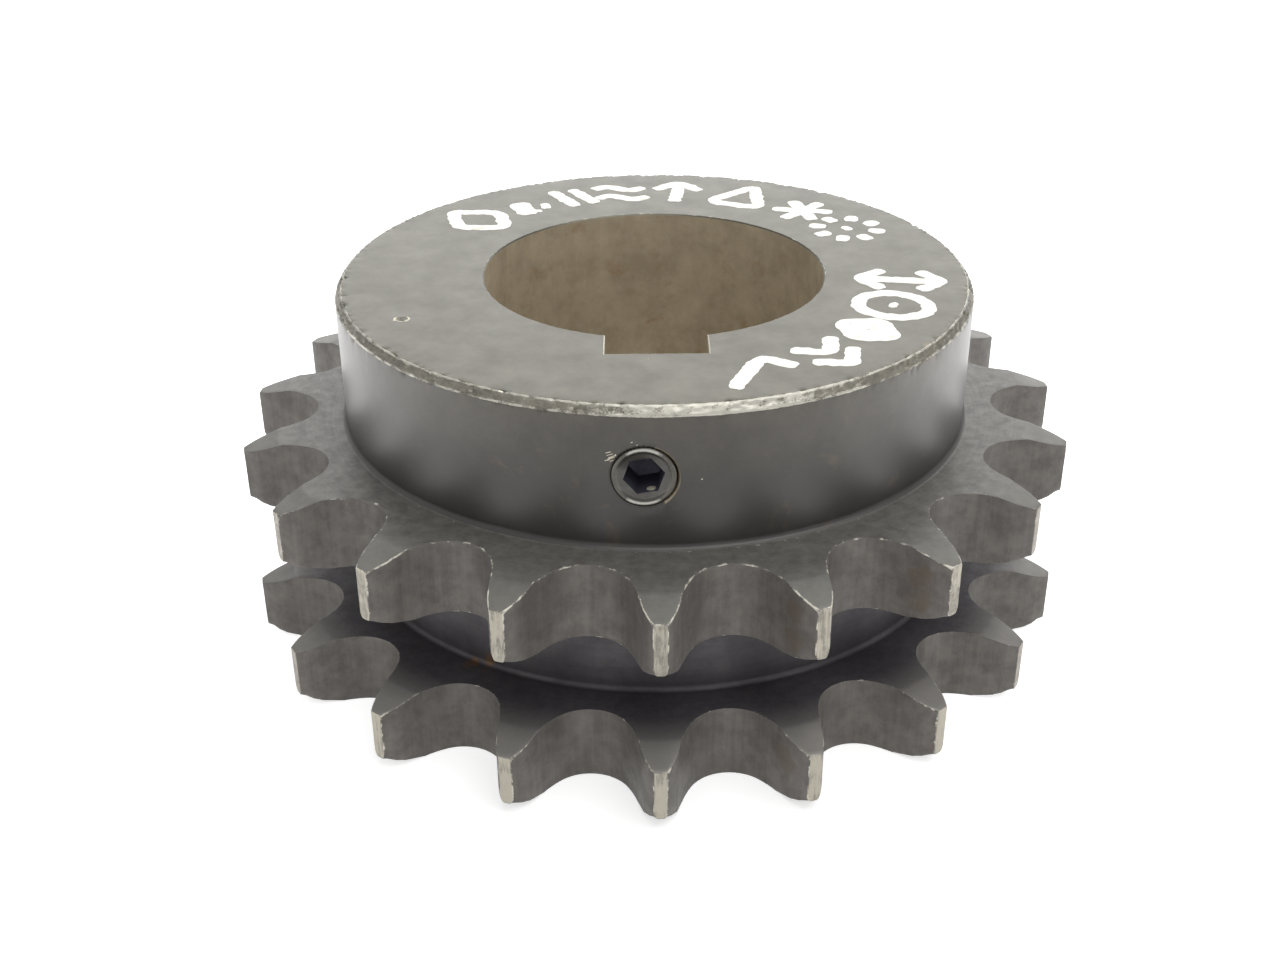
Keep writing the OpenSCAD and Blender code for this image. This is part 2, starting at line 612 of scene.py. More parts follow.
@dataclass(frozen=True)
class MachinedSteel:
    """Machined medium-carbon steel under a thin dark oxide, which gives a satin grey with brown clouds."""

    name: str
    dark: str
    light: str
    cloud_mm: float
    grain: Grain
    grain_mm: float
    grain_depth: float = 0.02
    streaks: float = 0.3
    metallic: float = 0.8
    rough_low: float = 0.38
    rough_high: float = 0.55
    oil: float = 0.0
    rust: str = "#6E5233"
    rust_share: float = 0.0
    # Colour of the scuffed bright metal, and of the highlights painted on the set screw's ridge and the rim's
    # front
    bare_and_highlight: str = "#B9B4A8"
    chip_mm: float = 0.9
    chip_squash: float = 1.0
    chip_depth: float = 1.6
    # Painted light and shade: a colour laid over the steel that grows from one height to another, or from one
    # radius to another on a faced surface
    film: str = ""
    painted_tone_from: float = 0.0
    painted_tone_to: float = 1.0

    def grain_vector(self, tree: bpy.types.NodeTree, spot: bpy.types.NodeSocket) -> bpy.types.NodeSocket:
        """Returns coordinates that change across the cut's marks and hardly along them."""
        if self.grain is Grain.TURNED_FACE:
            flat = add_node(tree, "ShaderNodeVectorMath", {"operation": "MULTIPLY", 1: (1, 1, 0)}, {0: spot})
            length = add_node(tree, "ShaderNodeVectorMath", {"operation": "LENGTH"}, {0: flat.outputs[0]})
            return add_node(tree, "ShaderNodeCombineXYZ", {}, {"X": length.outputs["Value"]}).outputs[0]
        draw = SIDE_DRAW if self.grain is Grain.TURNED_SIDE else AXIS_DRAW
        drawn = add_node(tree, "ShaderNodeVectorMath", {"operation": "MULTIPLY", 1: draw}, {0: spot})
        return drawn.outputs[0]

    def material(self) -> bpy.types.Material:
        """Builds the material: clouds, cutting marks, rust, painted light and shade, and the bright metal of
        scuffed edges and of painted highlights.
        """
        made, tree, shader = start_material(self.name)
        shader.inputs["Metallic"].default_value = self.metallic
        shader.inputs["Coat Weight"].default_value = self.oil
        shader.inputs["Coat Roughness"].default_value = OIL_ROUGHNESS
        spot = add_node(tree, "ShaderNodeTexCoord").outputs["Object"]
        across = self.grain_vector(tree, spot)
        clouds = add_node(tree, "ShaderNodeTexNoise",
                          {"Scale": per_mm(self.cloud_mm), "Detail": 6.0, "Roughness": 0.7}, {"Vector": spot})
        marks = add_node(tree, "ShaderNodeTexNoise",
                         {"Scale": per_mm(self.grain_mm), "Detail": 3.0, "Roughness": 0.7},
                         {"Vector": across})
        blend = add_node(tree, "ShaderNodeMath", {"operation": "MULTIPLY_ADD", 1: self.streaks},
                         {0: marks.outputs["Fac"], 2: clouds.outputs["Fac"]})
        low = CLOUD_FROM + self.streaks / 2
        share = add_node(tree, "ShaderNodeMapRange", {"From Min": low, "From Max": low + CLOUD_SPAN},
                         {"Value": blend.outputs[0]})
        oxide = add_node(tree, "ShaderNodeMix", {"data_type": "RGBA", MIX_A: linear(self.dark),
                         MIX_B: linear(self.light)}, {"Factor": share.outputs[0]})
        rust_clouds = add_node(tree, "ShaderNodeTexNoise",
                               {"Scale": per_mm(self.cloud_mm * RUST_SPOTS), "Detail": 8.0, "Roughness": 0.65,
                                "Distortion": 0.4}, {"Vector": spot})
        stained = add_node(tree, "ShaderNodeAttribute", {"attribute_name": RUST}).outputs["Fac"]
        rust_blend = add_node(tree, "ShaderNodeMath", {"operation": "MULTIPLY_ADD", 1: STAIN_PULL},
                              {0: stained, 2: rust_clouds.outputs["Fac"]})
        sooner = RUST_EASE * self.rust_share
        rust_share = add_node(tree, "ShaderNodeMapRange",
                              {"From Min": RUST_FROM - sooner, "From Max": RUST_TO - sooner,
                               "To Max": RUST_COVER}, {"Value": rust_blend.outputs[0]})
        # Lays on the painted light and shade, where the finish has any
        clean = self.with_painted_tone(tree, spot, oxide.outputs[MIX_RESULT]) if self.film else oxide.outputs[MIX_RESULT]
        rusty = add_node(tree, "ShaderNodeMix", {"data_type": "RGBA", MIX_B: linear(self.rust)},
                         {"Factor": rust_share.outputs[0], MIX_A: clean})
        worn_and_highlight = self.worn_and_highlight_share(tree, spot)
        colour = add_node(tree, "ShaderNodeMix", {"data_type": "RGBA", MIX_B: linear(self.bare_and_highlight)},
                          {"Factor": worn_and_highlight, MIX_A: rusty.outputs[MIX_RESULT]})
        tree.links.new(colour.outputs[MIX_RESULT], shader.inputs["Base Color"])
        rough = add_node(tree, "ShaderNodeMapRange",
                         {"From Min": 0.3, "From Max": 0.7,
                          "To Min": self.rough_high, "To Max": self.rough_low},
                         {"Value": clouds.outputs["Fac"]})
        tree.links.new(rough.outputs[0], shader.inputs["Roughness"])
        bump = add_node(tree, "ShaderNodeBump", {"Strength": 0.5, "Distance": self.grain_depth * METRES},
                        {"Height": marks.outputs["Fac"]})
        tree.links.new(bump.outputs[0], shader.inputs["Normal"])
        return made

    def with_painted_tone(
        self, tree: bpy.types.NodeTree, spot: bpy.types.NodeSocket, clean: bpy.types.NodeSocket
    ) -> bpy.types.NodeSocket:
        """Lays a painted tone over the colour: painted shade that darkens the hub's side towards its foot,
        and painted light that brightens the ring faces towards the teeth's tips.

        It grows from one height to another, or from one radius to another on a faced surface.

        Args:
            tree: Node tree of the material.
            spot: Object coordinates.
            clean: Colour of the steel without the painted tone.

        Returns:
            The colour with the painted tone.
        """
        faced = self.grain is Grain.TURNED_FACE
        source = self.grain_vector(tree, spot) if faced else spot
        place = add_node(tree, "ShaderNodeSeparateXYZ", {}, {0: source}).outputs["X" if faced else "Z"]
        cover = add_node(tree, "ShaderNodeMapRange",
                         {"From Min": self.painted_tone_from * METRES, "From Max": self.painted_tone_to * METRES,
                          "To Max": PAINTED_TONE_COVER}, {"Value": place})
        mixed = add_node(tree, "ShaderNodeMix", {"data_type": "RGBA", MIX_B: linear(self.film)},
                         {"Factor": cover.outputs[0], MIX_A: clean})
        return mixed.outputs[MIX_RESULT]

    def worn_and_highlight_share(self, tree: bpy.types.NodeTree, spot: bpy.types.NodeSocket) -> bpy.types.NodeSocket:
        """Adds a fine ragged noise to the layer of scuffs and painted highlights on the mesh.

        Args:
            tree: Node tree of the material.
            spot: Object coordinates.

        Returns:
            How far the oxide gives way to bright metal: scuffed places, and painted highlights.
        """
        wear_and_highlight = add_node(tree, "ShaderNodeAttribute", {"attribute_name": WEAR_AND_HIGHLIGHT}).outputs["Fac"]
        near = add_node(tree, "ShaderNodeMath", {"operation": "POWER", 1: WEAR_AND_HIGHLIGHT_POWER}, {0: wear_and_highlight})
        flat = add_node(tree, "ShaderNodeVectorMath", {"operation": "MULTIPLY", 1: (1, 1, self.chip_squash)},
                        {0: spot})
        ragged = add_node(tree, "ShaderNodeTexNoise", {"Scale": per_mm(self.chip_mm), "Detail": 6.0,
                          "Roughness": 0.7}, {"Vector": flat.outputs[0]})
        edge = add_node(tree, "ShaderNodeMath", {"operation": "MULTIPLY_ADD", 1: self.chip_depth},
                        {0: ragged.outputs["Fac"], 2: near.outputs[0]})
        middle = 0.5 + self.chip_depth / 2
        share = add_node(tree, "ShaderNodeMapRange",
                         {"From Min": middle - CHIP_EDGE, "From Max": middle + CHIP_EDGE},
                         {"Value": edge.outputs[0]})
        return share.outputs[0]


@dataclass(frozen=True)
class StudioPaper:
    """Seamless white paper, which shows as white and keeps a faint shadow."""

    name: str
    shade: str
    near_glow: float
    far_glow: float
    dim_middle: tuple[float, float, float] = (0.0, -0.25, 0.0)
    dim_from: float = 0.08
    dim_to: float = 0.3
    plain_glow: float = 0.5

    def material(self) -> bpy.types.Material:
        """Builds the paper: a matt white that camera, glossy and transmitted rays see bright.

        It mirrors dimmer in front of the sprocket, on the camera's side, where less light falls.

        Returns:
            The material.
        """
        made, tree, shader = start_material(self.name)
        shader.inputs["Base Color"].default_value = linear(self.shade)
        shader.inputs["Roughness"].default_value = 1.0
        shader.inputs["Emission Color"].default_value = linear("#FFFFFF")
        path = add_node(tree, "ShaderNodeLightPath")
        seen = add_node(tree, "ShaderNodeMath", {"operation": "MAXIMUM"},
                        {0: path.outputs["Is Camera Ray"], 1: path.outputs["Is Glossy Ray"]})
        any_seen = add_node(tree, "ShaderNodeMath", {"operation": "MAXIMUM"},
                            {0: seen.outputs[0], 1: path.outputs["Is Transmission Ray"]})
        spot = add_node(tree, "ShaderNodeTexCoord").outputs["Object"]
        away = add_node(tree, "ShaderNodeVectorMath", {"operation": "DISTANCE", 1: self.dim_middle},
                        {0: spot})
        lift = add_node(tree, "ShaderNodeMapRange",
                        {"From Min": self.dim_from, "From Max": self.dim_to, "To Min": self.near_glow,
                         "To Max": self.far_glow}, {"Value": away.outputs["Value"]})
        plain = add_node(tree, "ShaderNodeMath", {"operation": "MULTIPLY", 1: self.plain_glow},
                         {0: path.outputs["Is Camera Ray"]})
        mirrored = add_node(tree, "ShaderNodeMath", {"operation": "MULTIPLY"},
                            {0: any_seen.outputs[0], 1: lift.outputs[0]})
        glow = add_node(tree, "ShaderNodeMath", {"operation": "MAXIMUM"},
                        {0: plain.outputs[0], 1: mirrored.outputs[0]})
        tree.links.new(glow.outputs[0], shader.inputs["Emission Strength"])
        return made


class Skin(Enum):
    """The surfaces of the sprocket's body, in the order of its material slots."""

    HUB_FACE = 0
    HUB_RIM = 1
    HUB_SIDE = 2
    RING_FACE = 3
    GAP_WALL = 4
    LAND = 5
    GROOVE = 6
    BORE = 7
    LOWER_FACE = 8
    TAPPED_HOLE = 9


SKIN_FINISHES = {
    Skin.HUB_FACE: MachinedSteel("faced_oxide_steel", "#5E5C53", "#68665C", 5.0, Grain.TURNED_FACE, 0.5,
                                 streaks=0.1, rough_low=0.34, rough_high=0.4, bare_and_highlight="#D5D2C2", rust="#7E745F"),
    # Its bright colour shows scuffs, and the highlight painted over the rim's front stretch
    Skin.HUB_RIM: MachinedSteel("battered_rim_steel", "#77746B", "#99958A", 1.2, Grain.TURNED_SIDE, 0.4,
                                bare_and_highlight="#C6C3B8", chip_mm=0.3, chip_squash=1.6, grain_depth=0.08,
                                rust="#8F887A"),
    # Darker downwards from 52 mm, and fully below 43 mm: painted shade on the hub's side
    Skin.HUB_SIDE: MachinedSteel("turned_oxide_steel", "#47433D", "#534F48", 6.0, Grain.TURNED_SIDE, 0.4,
                                 streaks=0.15, rough_low=0.46, rough_high=0.52, rust="#5C5044",
                                 rust_share=0.25, oil=1.0, film="#353231", painted_tone_from=52.0, painted_tone_to=43.0),
    # Lighter outwards from 54 mm, and fully past 61 mm: painted light on the upper ring's face towards the
    # teeth's tips
    Skin.RING_FACE: MachinedSteel("milled_oxide_steel", "#5B5854", "#72706B", 2.0, Grain.TURNED_FACE, 0.5,
                                  metallic=0.35, rough_low=0.5, rough_high=0.6, oil=0.3, chip_squash=2.0,
                                  bare_and_highlight="#D8D4C6", film="#7B7972", painted_tone_from=54.0, painted_tone_to=61.0),
    Skin.GAP_WALL: MachinedSteel("hobbed_oxide_steel", "#625E5A", "#76726D", 3.0, Grain.ALONG_AXIS, 0.9,
                                 metallic=0.35, rough_low=0.5, rough_high=0.6, rust="#6A6055", streaks=0.45,
                                 bare_and_highlight="#D8D4C6"),
    Skin.LAND: MachinedSteel("rubbed_tooth_steel", "#87827A", "#A19C91", 0.8, Grain.ALONG_AXIS, 0.3,
                             bare_and_highlight="#B1AC9E", chip_mm=0.4, chip_squash=0.12, grain_depth=0.06),
    Skin.GROOVE: MachinedSteel("grooved_oxide_steel", "#545154", "#615E60", 6.0, Grain.TURNED_SIDE, 0.5,
                               rough_low=0.5, rough_high=0.62, rust="#7E6245"),
    Skin.BORE: MachinedSteel("bored_brown_steel", "#A79A83", "#BFB39B", 6.0, Grain.ALONG_AXIS, 1.4,
                             metallic=0.3, rough_low=0.55, rough_high=0.7, rust="#9A8062", rust_share=0.35,
                             streaks=0.15),
    # A darker copy of the ring face's steel: painted shade on the lower ring's faces and the upper ring's
    # underside. Lighter outwards from 53 mm, and fully past 60 mm: painted light towards the teeth's tips
    Skin.LOWER_FACE: MachinedSteel("shade_painted_oxide_steel", "#4D4A4D", "#5D5A5D", 2.2, Grain.TURNED_FACE, 0.5,
                                   metallic=0.5, rust="#7E6245", film="#94918A", painted_tone_from=53.0,
                                   painted_tone_to=60.0),
    Skin.TAPPED_HOLE: MachinedSteel("tapped_oxide_steel", "#8A8272", "#A89D84", 0.8, Grain.TURNED_SIDE, 0.4,
                                    metallic=0.3, rust_share=0.4, rust="#8C774F"),
}
FLOOR = StudioPaper("studio_paper", "#E6E6E6", near_glow=0.1, far_glow=1.0)
# Bright steel of the scars, lips and specks, and of the glint painted in the socket
NICK_AND_GLINT_STEEL = MachinedSteel("nicked_steel_and_glint", "#B9B19A", "#DCD7C6", 0.5, Grain.TURNED_SIDE, 0.2,
                           metallic=0.3)


class ScrewZone(Enum):
    """The surfaces of a set screw, in the order of its material slots."""

    FACE = 0
    CHAMFER = 1
    THREAD = 2
    SOCKET = 3


SCREW_FINISHES = {
    ScrewZone.FACE: MachinedSteel("dished_black_steel", "#545250", "#605E5A", 2.0, Grain.TURNED_FACE, 0.3,
                                  metallic=0.95, rough_low=0.22, rough_high=0.28),
    # Its bright colour is the highlight painted along the ridge
    ScrewZone.CHAMFER: MachinedSteel("crowned_black_steel", "#595651", "#66635D", 2.0, Grain.TURNED_FACE, 0.3,
                                     rough_low=0.2, rough_high=0.28, bare_and_highlight="#B5B2AB", chip_depth=0.5),
    ScrewZone.THREAD: MachinedSteel("rolled_black_steel", "#4A4948", "#5A5956", 2.0, Grain.TURNED_FACE, 0.3),
    ScrewZone.SOCKET: MachinedSteel("broached_black_steel", "#4A4A56", "#565662", 2.0, Grain.ALONG_AXIS, 0.3,
                                    metallic=0.5, rough_low=0.5, rough_high=0.6),
}


@dataclass(frozen=True)
class Stain:
    """A patch of rust: its turn from the keyway in degrees, and its radius, height and size.

    Its core, a share of its size, is stained in full.
    """

    turn: float
    radius: float
    z: float
    size: float
    core: float = 0.3

    def share(self, spot: Vector) -> float:
        """Returns how strongly the patch stains a point."""
        middle = on_circle(self.radius, math.pi - math.radians(self.turn), self.z)
        return 1 - smooth_step(self.core * self.size, self.size, (spot - middle).length)


STAINS = (
    Stain(-32.8, 48.0, 11.2, 1.7),
    Stain(-30.5, 47.6, 12.2, 2.0),
    Stain(52.1, 46.9, 53.5, 1.8),
    *(Stain(turn, 59.3, z, 3.4) for turn in (15.6, 34.5) for z in (26.0, 30.0)),
    Stain(15.8, 59.0, 6.5, 3.6),
)


@dataclass(frozen=True)
class Uneven:
    """A value that wanders over a surface: its middle, its swing and how fast it changes per mm."""

    middle: float
    swing: float
    rate: float
    shift: tuple[float, float, float] = (0.0, 0.0, 0.0)

    def at(self, spot: Vector) -> float:
        """Returns the value at a point."""
        return self.middle + self.swing * noise.noise(spot * self.rate + Vector(self.shift))


class SprocketBody:
    """The turned and hobbed steel body: two rings of teeth, the groove between them and the keyed hub."""

    name = "sprocket_steel"
    sharp_angle = math.radians(48)
    torn_at = math.radians(-8)
    torn_by = 0.5
    torn_depth = 0.45
    funnel_w = 0.4
    funnel_h = 0.23
    key_ring = 2.3
    rim_corner = 0.15
    rim_guards = (1.2, 0.35, 0.12)
    rim_margin = 0.13
    thread_play = 0.03
    mouth_play = 0.015
    lead_in = 0.9
    tap_past = 3.0
    follow_from = 3.0
    follow_full = 1.0
    blunt_from = 2.5
    blunt_h = 1.6
    blunt_in = 2.2
    blunt_full = 0.2
    blunt_share = 0.72
    blunt_lift = 0.25
    blunt_back = 0.3
    peen_least = 0.002
    peen_by = 0.1
    peening = Uneven(0.25, 1.0, 0.75)
    front_from = 0.3
    front_full = 0.95
    # Painted highlight along the hub's foot
    foot_highlight = Uneven(0.3, 0.15, 0.4)
    key_edge_wear = Uneven(0.85, 0.5, 1.1)
    bore_edge_wear = Uneven(0.45, 0.5, 1.1)
    key_edge_reach = 0.3
    inner_edge_h = 0.15
    inner_edge_w = 0.05
    edge_least = 0.32
    edge_at_tip = 0.26
    edge_at_back = 0.4
    edge_at_front = 0.6
    edge_lower_ring = 0.8
    edge_scratches = Uneven(0.0, 0.4, 0.9)
    edge_specks = Uneven(0.0, 0.25, 3.0)
    half_land = 1.0
    land_inner = 0.8
    land_least = 0.08
    land_at_front = 0.4
    land_lower_ring = 0.2
    land_at_edge = 0.25
    land_patches = Uneven(0.0, 0.3, 0.5)
    battered_w = 1.3
    knocked_w = 0.8
    knock_depth = 0.5
    knocks_spare = 0.15
    knocks = Uneven(0.0, 0.9, 0.7)
    chips = Uneven(0.0, 0.8, 2.1)
    ripples = Uneven(0.02, 0.2, 1.9, (9.0, 4.0, 2.0))
    # Stretch of the rim's front, near the keyway, that is painted bright: a painted highlight
    highlight_turn = 9.0
    highlight_reach = (4.0, 30.0)
    rim_edge = 0.15
    rim_most = 0.95
    rim_upper_wear = Uneven(0.62, 0.5, 1.3)
    rim_upper_highlight = 0.25
    rim_lower_wear = Uneven(0.5, 0.7, 0.7, (3.0, 7.0, 1.0))
    rim_lower_highlight = 0.3
    rim_middle_wear = Uneven(0.1, 0.5, 1.1)
    rim_middle_highlight = 0.6
    flat_from = 0.6
    bore_margin = 0.5
    hole_margin = 1.0
    hole_inward = 0.8
    foot_margin = 0.05
    land_depth = 0.4
    land_outward = 0.9

    def __init__(self, sizes: Sizes) -> None:
        """Takes the sizes and sets how finely the mesh is divided."""
        self.sizes = sizes
        self.form = ToothForm(sizes)
        self.div = Divisions()
        self.column = sizes.half_step / self.div.half_sector

    def half_ring_sector(self, inner_r: float) -> BMesh:
        """Builds one side of a tooth ring over one pitch, its face on z = 0 and its walls going down.

        Args:
            inner_r: Radius at which the face meets a fillet.

        Returns:
            The sector, with the middle of its gap on +Y.
        """
        mesh = bmesh.new()
        sizes, form, div = self.sizes, self.form, self.div
        outline = Chain(mesh, form.seat_mid - Vector((0, form.seat_r, 0)))
        outline.arc(form.seat_mid, Z_AXIS, math.pi / 2 - form.seat_turn, div.seat)
        onset = meeting_angle(form.work_mid, form.work_r, sizes.onset_r, -1)
        outline.arc(form.work_mid, Z_AXIS, onset + form.seat_turn, div.work_low)
        outline.arc(form.work_mid, Z_AXIS, form.work_turn - form.seat_turn - onset, div.work_high)
        outline.line(form.flat_high)
        tip = meeting_angle(form.top_mid, form.top_r, sizes.tip_r, 1)
        start = math.atan2(-form.flank.y, -form.flank.x)
        outline.arc(form.top_mid, Z_AXIS, tip - start, div.topping)
        gap_edges = outline.edges()
        low_edges = gap_edges[: div.seat + div.work_low]
        grow_rows(mesh, outline.edges(div.seat + div.work_low), div.tooth, self.swing_to_tooth)
        onset_edges = self.edges_at_radius(mesh, sizes.onset_r)
        land_edges = self.edges_at_radius(mesh, sizes.tip_r)

        def draw_in(verts: list[BMVert], left: int) -> None:
            """Moves a row of the face towards its inner circle, at even steps."""
            for index, vert in enumerate(sorted(verts, key=lambda v: turn_of(v.co))):
                goal_turn = index * self.column
                radius = radius_of(vert.co)
                turn = turn_of(vert.co)
                vert.co = on_circle(
                    radius + (inner_r - radius) / left, turn + (goal_turn - turn) / left, vert.co.z
                )

        grow_rows(mesh, low_edges + onset_edges, div.face_rows, draw_in)
        slope = sizes.tooth_chamfer_z / sizes.tooth_chamfer_r
        for vert in mesh.verts:
            vert.co.z = -slope * max(0.0, radius_of(vert.co) - sizes.onset_r)

        def draw_down(verts: list[BMVert], left: int) -> None:
            """Moves a row of the walls towards the ring's middle."""
            share = div.first_wall_step if left == div.wall_rows else 1 / left
            for vert in verts:
                vert.co.z += (-sizes.ring_w / 2 - vert.co.z) * share

        grow_rows(mesh, gap_edges + land_edges, div.wall_rows, draw_down)
        bmesh.ops.mirror(mesh, geom=mesh.verts[:] + mesh.edges[:] + mesh.faces[:],
                         matrix=Matrix.Identity(4), merge_dist=MERGE, axis="X")
        return mesh

    def swing_to_tooth(self, verts: list[BMVert], left: int) -> None:
        """Turns a row of vertices about the axis towards the middle of the tooth, with a wider first step."""
        share = self.div.first_tooth_step if left == self.div.tooth else 1 / left
        for vert in verts:
            turn = turn_of(vert.co)
            vert.co = on_circle(radius_of(vert.co), turn + (self.sizes.half_step - turn) * share)

    @staticmethod
    def edges_at_radius(mesh: BMesh, radius: float) -> list[BMEdge]:
        """Returns the edges whose two ends lie at a radius from the axis."""
        return [
            edge for edge in mesh.edges
            if all(abs(radius_of(vert.co) - radius) < MERGE for vert in edge.verts)
        ]

    def turned_sector(self) -> BMesh:
        """Turns the hub, the bore and the groove over one pitch of the teeth."""
        mesh = bmesh.new()
        sizes, div = self.sizes, self.div
        fillet = sizes.root_fillet
        side_r, groove_r, top = sizes.hub_r, sizes.groove_r, sizes.face_z
        hub_edge, rim_low, bore_out = sizes.rim_in, sizes.rim_low, sizes.bore_out
        corner = self.rim_corner * Vector((0, sizes.hub_chamfer_r, -sizes.hub_chamfer_z)).normalized()
        face_in = sizes.key_floor + self.key_ring
        far, near, close = self.rim_guards

        def spot(radius: float, z: float) -> Vector:
            """Returns a point of the half section."""
            return Vector((0, radius, z))

        hub = Chain(mesh, spot(groove_r + fillet, 0))
        hub.line(spot(face_in, 0), 2).line(spot(bore_out, 0)).line(spot(sizes.bore_r, sizes.bore_edge))
        hub.line(spot(sizes.bore_r, top - sizes.bore_edge), div.bore_rows).line(spot(bore_out, top))
        hub.line(spot(bore_out + sizes.key_guard, top))
        hub.line(spot(face_in, top)).line(spot(hub_edge - far, top), div.face_steps)
        hub.line(spot(hub_edge - near, top)).line(spot(hub_edge - close, top))
        hub.line(spot(hub_edge, top) + corner).line(spot(side_r, rim_low) - corner, div.rim_rows)
        hub.line(spot(side_r, rim_low - close)).line(spot(side_r, rim_low - near))
        hub.line(spot(side_r, rim_low - far))
        hub.line(spot(side_r, sizes.ring_top + fillet), div.side_rows)
        hub.arc(spot(side_r + fillet, sizes.ring_top + fillet), X_AXIS, math.pi / 2, div.fillet)
        groove = Chain(mesh, spot(groove_r + fillet, sizes.strand_pitch))
        groove.arc(spot(groove_r + fillet, sizes.strand_pitch - fillet), X_AXIS, math.pi / 2, div.fillet)
        groove.line(spot(groove_r, sizes.ring_w + fillet), div.groove_rows)
        groove.arc(spot(groove_r + fillet, sizes.ring_w + fillet), X_AXIS, math.pi / 2, div.fillet)
        start = Matrix.Rotation(sizes.half_step, 3, "Z")
        bmesh.ops.rotate(mesh, verts=mesh.verts, cent=ORIGIN, matrix=start)
        bmesh.ops.spin(mesh, geom=mesh.verts[:] + mesh.edges[:], cent=ORIGIN, axis=Z_AXIS,
                       angle=-2 * sizes.half_step, steps=2 * div.half_sector)
        return mesh

    def whole_turn(self) -> BMesh:
        """Joins the sectors of both rings, the hub and the groove, and repeats them round the axis."""
        sizes = self.sizes
        mesh = bmesh.new()
        inner = sizes.groove_r + sizes.root_fillet
        hub_side = self.half_ring_sector(sizes.foot_r)
        groove_side = self.half_ring_sector(inner)
        upside_down = Matrix.Scale(-1, 4, Z_AXIS)
        pour(mesh, hub_side, Matrix.Translation((0, 0, sizes.ring_top)))
        pour(mesh, groove_side, Matrix.Translation((0, 0, sizes.strand_pitch)) @ upside_down)
        pour(mesh, groove_side, Matrix.Translation((0, 0, sizes.ring_w)))
        pour(mesh, groove_side, upside_down)
        turned = self.turned_sector()
        pour(mesh, turned, Matrix.Identity(4))
        for part in (hub_side, groove_side, turned):
            part.free()
        weld(mesh)
        bmesh.ops.spin(mesh, geom=mesh.verts[:] + mesh.edges[:] + mesh.faces[:], cent=ORIGIN, axis=Z_AXIS,
                       angle=2 * sizes.half_step * (sizes.teeth - 1), steps=sizes.teeth - 1,
                       use_duplicate=True)
        weld(mesh)
        bmesh.ops.recalc_face_normals(mesh, faces=mesh.faces)
        return mesh

    def broach_keyway(self, mesh: BMesh) -> None:
        """Pushes the bore's wall out to the keyway, which faces -Y."""
        sizes, div = self.sizes, self.div
        half_w, bore_out = sizes.key_w / 2, sizes.bore_out
        for vert in mesh.verts:
            radius = radius_of(vert.co)
            column = round(math.atan2(vert.co.x, -vert.co.y) / self.column)
            if radius > bore_out + sizes.key_guard + MERGE or abs(column) > div.key_half:
                continue
            widen = sizes.key_edge if radius > sizes.bore_r + MERGE else 0.0
            if radius > bore_out + MERGE:
                widen += sizes.key_guard
            if abs(column) <= div.key_floor:
                x = (half_w + widen) * column / div.key_floor
                y = -sizes.key_floor - widen
            else:
                share = (abs(column) - div.key_floor) / div.key_side
                x = math.copysign(half_w + widen, column)
                start = math.sqrt(radius**2 - (half_w + widen) ** 2)
                y = -sizes.key_floor - widen + (sizes.key_floor + widen - start) * share
            end_z = 0.0 if vert.co.z < sizes.body_h / 2 else sizes.face_z
            if not widen and abs(vert.co.z - end_z) < sizes.bore_edge + MERGE:
                vert.co.z = end_z + math.copysign(sizes.key_edge, sizes.body_h / 2 - end_z)
            vert.co.x = x
            vert.co.y = y

    def screw_place(self, turn: float) -> Matrix:
        """Returns the frame of a set screw's axis at a turn in degrees, its Z pointing out of the hub."""
        lift = Matrix.Translation((0, 0, self.sizes.screw_z))
        return lift @ Matrix.Rotation(math.radians(turn), 4, "Z") @ Matrix.Rotation(math.pi / 2, 4, "X")

    def tap(self, name: str, turn: float) -> bpy.types.Object:
        """Makes the cutter for one tapped hole, with the thread running out at a flared mouth.

        Args:
            name: The cutter's name.
            turn: The screw's turn about the sprocket's axis, in degrees.

        Returns:
            The closed cutter.
        """
        sizes, div = self.sizes, self.div
        thread = Thread(root_r=sizes.engaged_r + self.thread_play, crest_r=sizes.thread_d / 2,
                        lead=sizes.thread_pitch)
        start, end = sizes.bore_r - self.tap_past, sizes.hub_r + sizes.thread_pitch
        rows = round((end - start) / sizes.thread_pitch * div.tap_rows)
        mesh = bmesh.new()
        rim = bmesh.ops.create_circle(mesh, cap_ends=True, segments=div.tap_columns,
                                      radius=thread.root_r)["verts"]
        bmesh.ops.translate(mesh, verts=rim, vec=(0, 0, start))
        edges = [edge for edge in mesh.edges if edge.is_boundary]

        def rise(verts: list[BMVert], _left: int) -> None:
            """Lifts a row of the cutter by one step."""
            bmesh.ops.translate(mesh, verts=verts, vec=(0, 0, (end - start) / rows))

        last = grow_rows(mesh, edges, rows, rise)
        bmesh.ops.edgeloop_fill(mesh, edges=last)
        mouth_r = sizes.engaged_r + self.mouth_play
        follow = (sizes.hub_r - self.follow_from, sizes.hub_r - self.follow_full)
        for vert in mesh.verts:
            angle = math.atan2(vert.co.y, vert.co.x)
            drop = sizes.hub_r - math.sqrt(sizes.hub_r**2 - (mouth_r * math.cos(angle)) ** 2)
            vert.co.z -= drop * smooth_step(*follow, vert.co.z)
            along = vert.co.z
            depth = sizes.hub_r - drop - along
            radius = thread.radius(angle, along)
            runs_out = smooth_step(sizes.hub_r, sizes.hub_r - self.lead_in, along)
            radius = thread.root_r + (radius - thread.root_r) * runs_out
            torn = max(0.0, math.cos(angle - self.torn_at)) ** 3 * self.torn_by
            funnel = mouth_r + self.funnel_w * (1 - depth / self.funnel_h)
            radius = max(radius, funnel, mouth_r + torn * (1 - depth / self.torn_depth))
            vert.co.x *= radius / thread.root_r
            vert.co.y *= radius / thread.root_r
        bmesh.ops.recalc_face_normals(mesh, faces=mesh.faces)
        bmesh.ops.transform(mesh, matrix=self.screw_place(turn), verts=mesh.verts)
        return as_object(mesh, name)

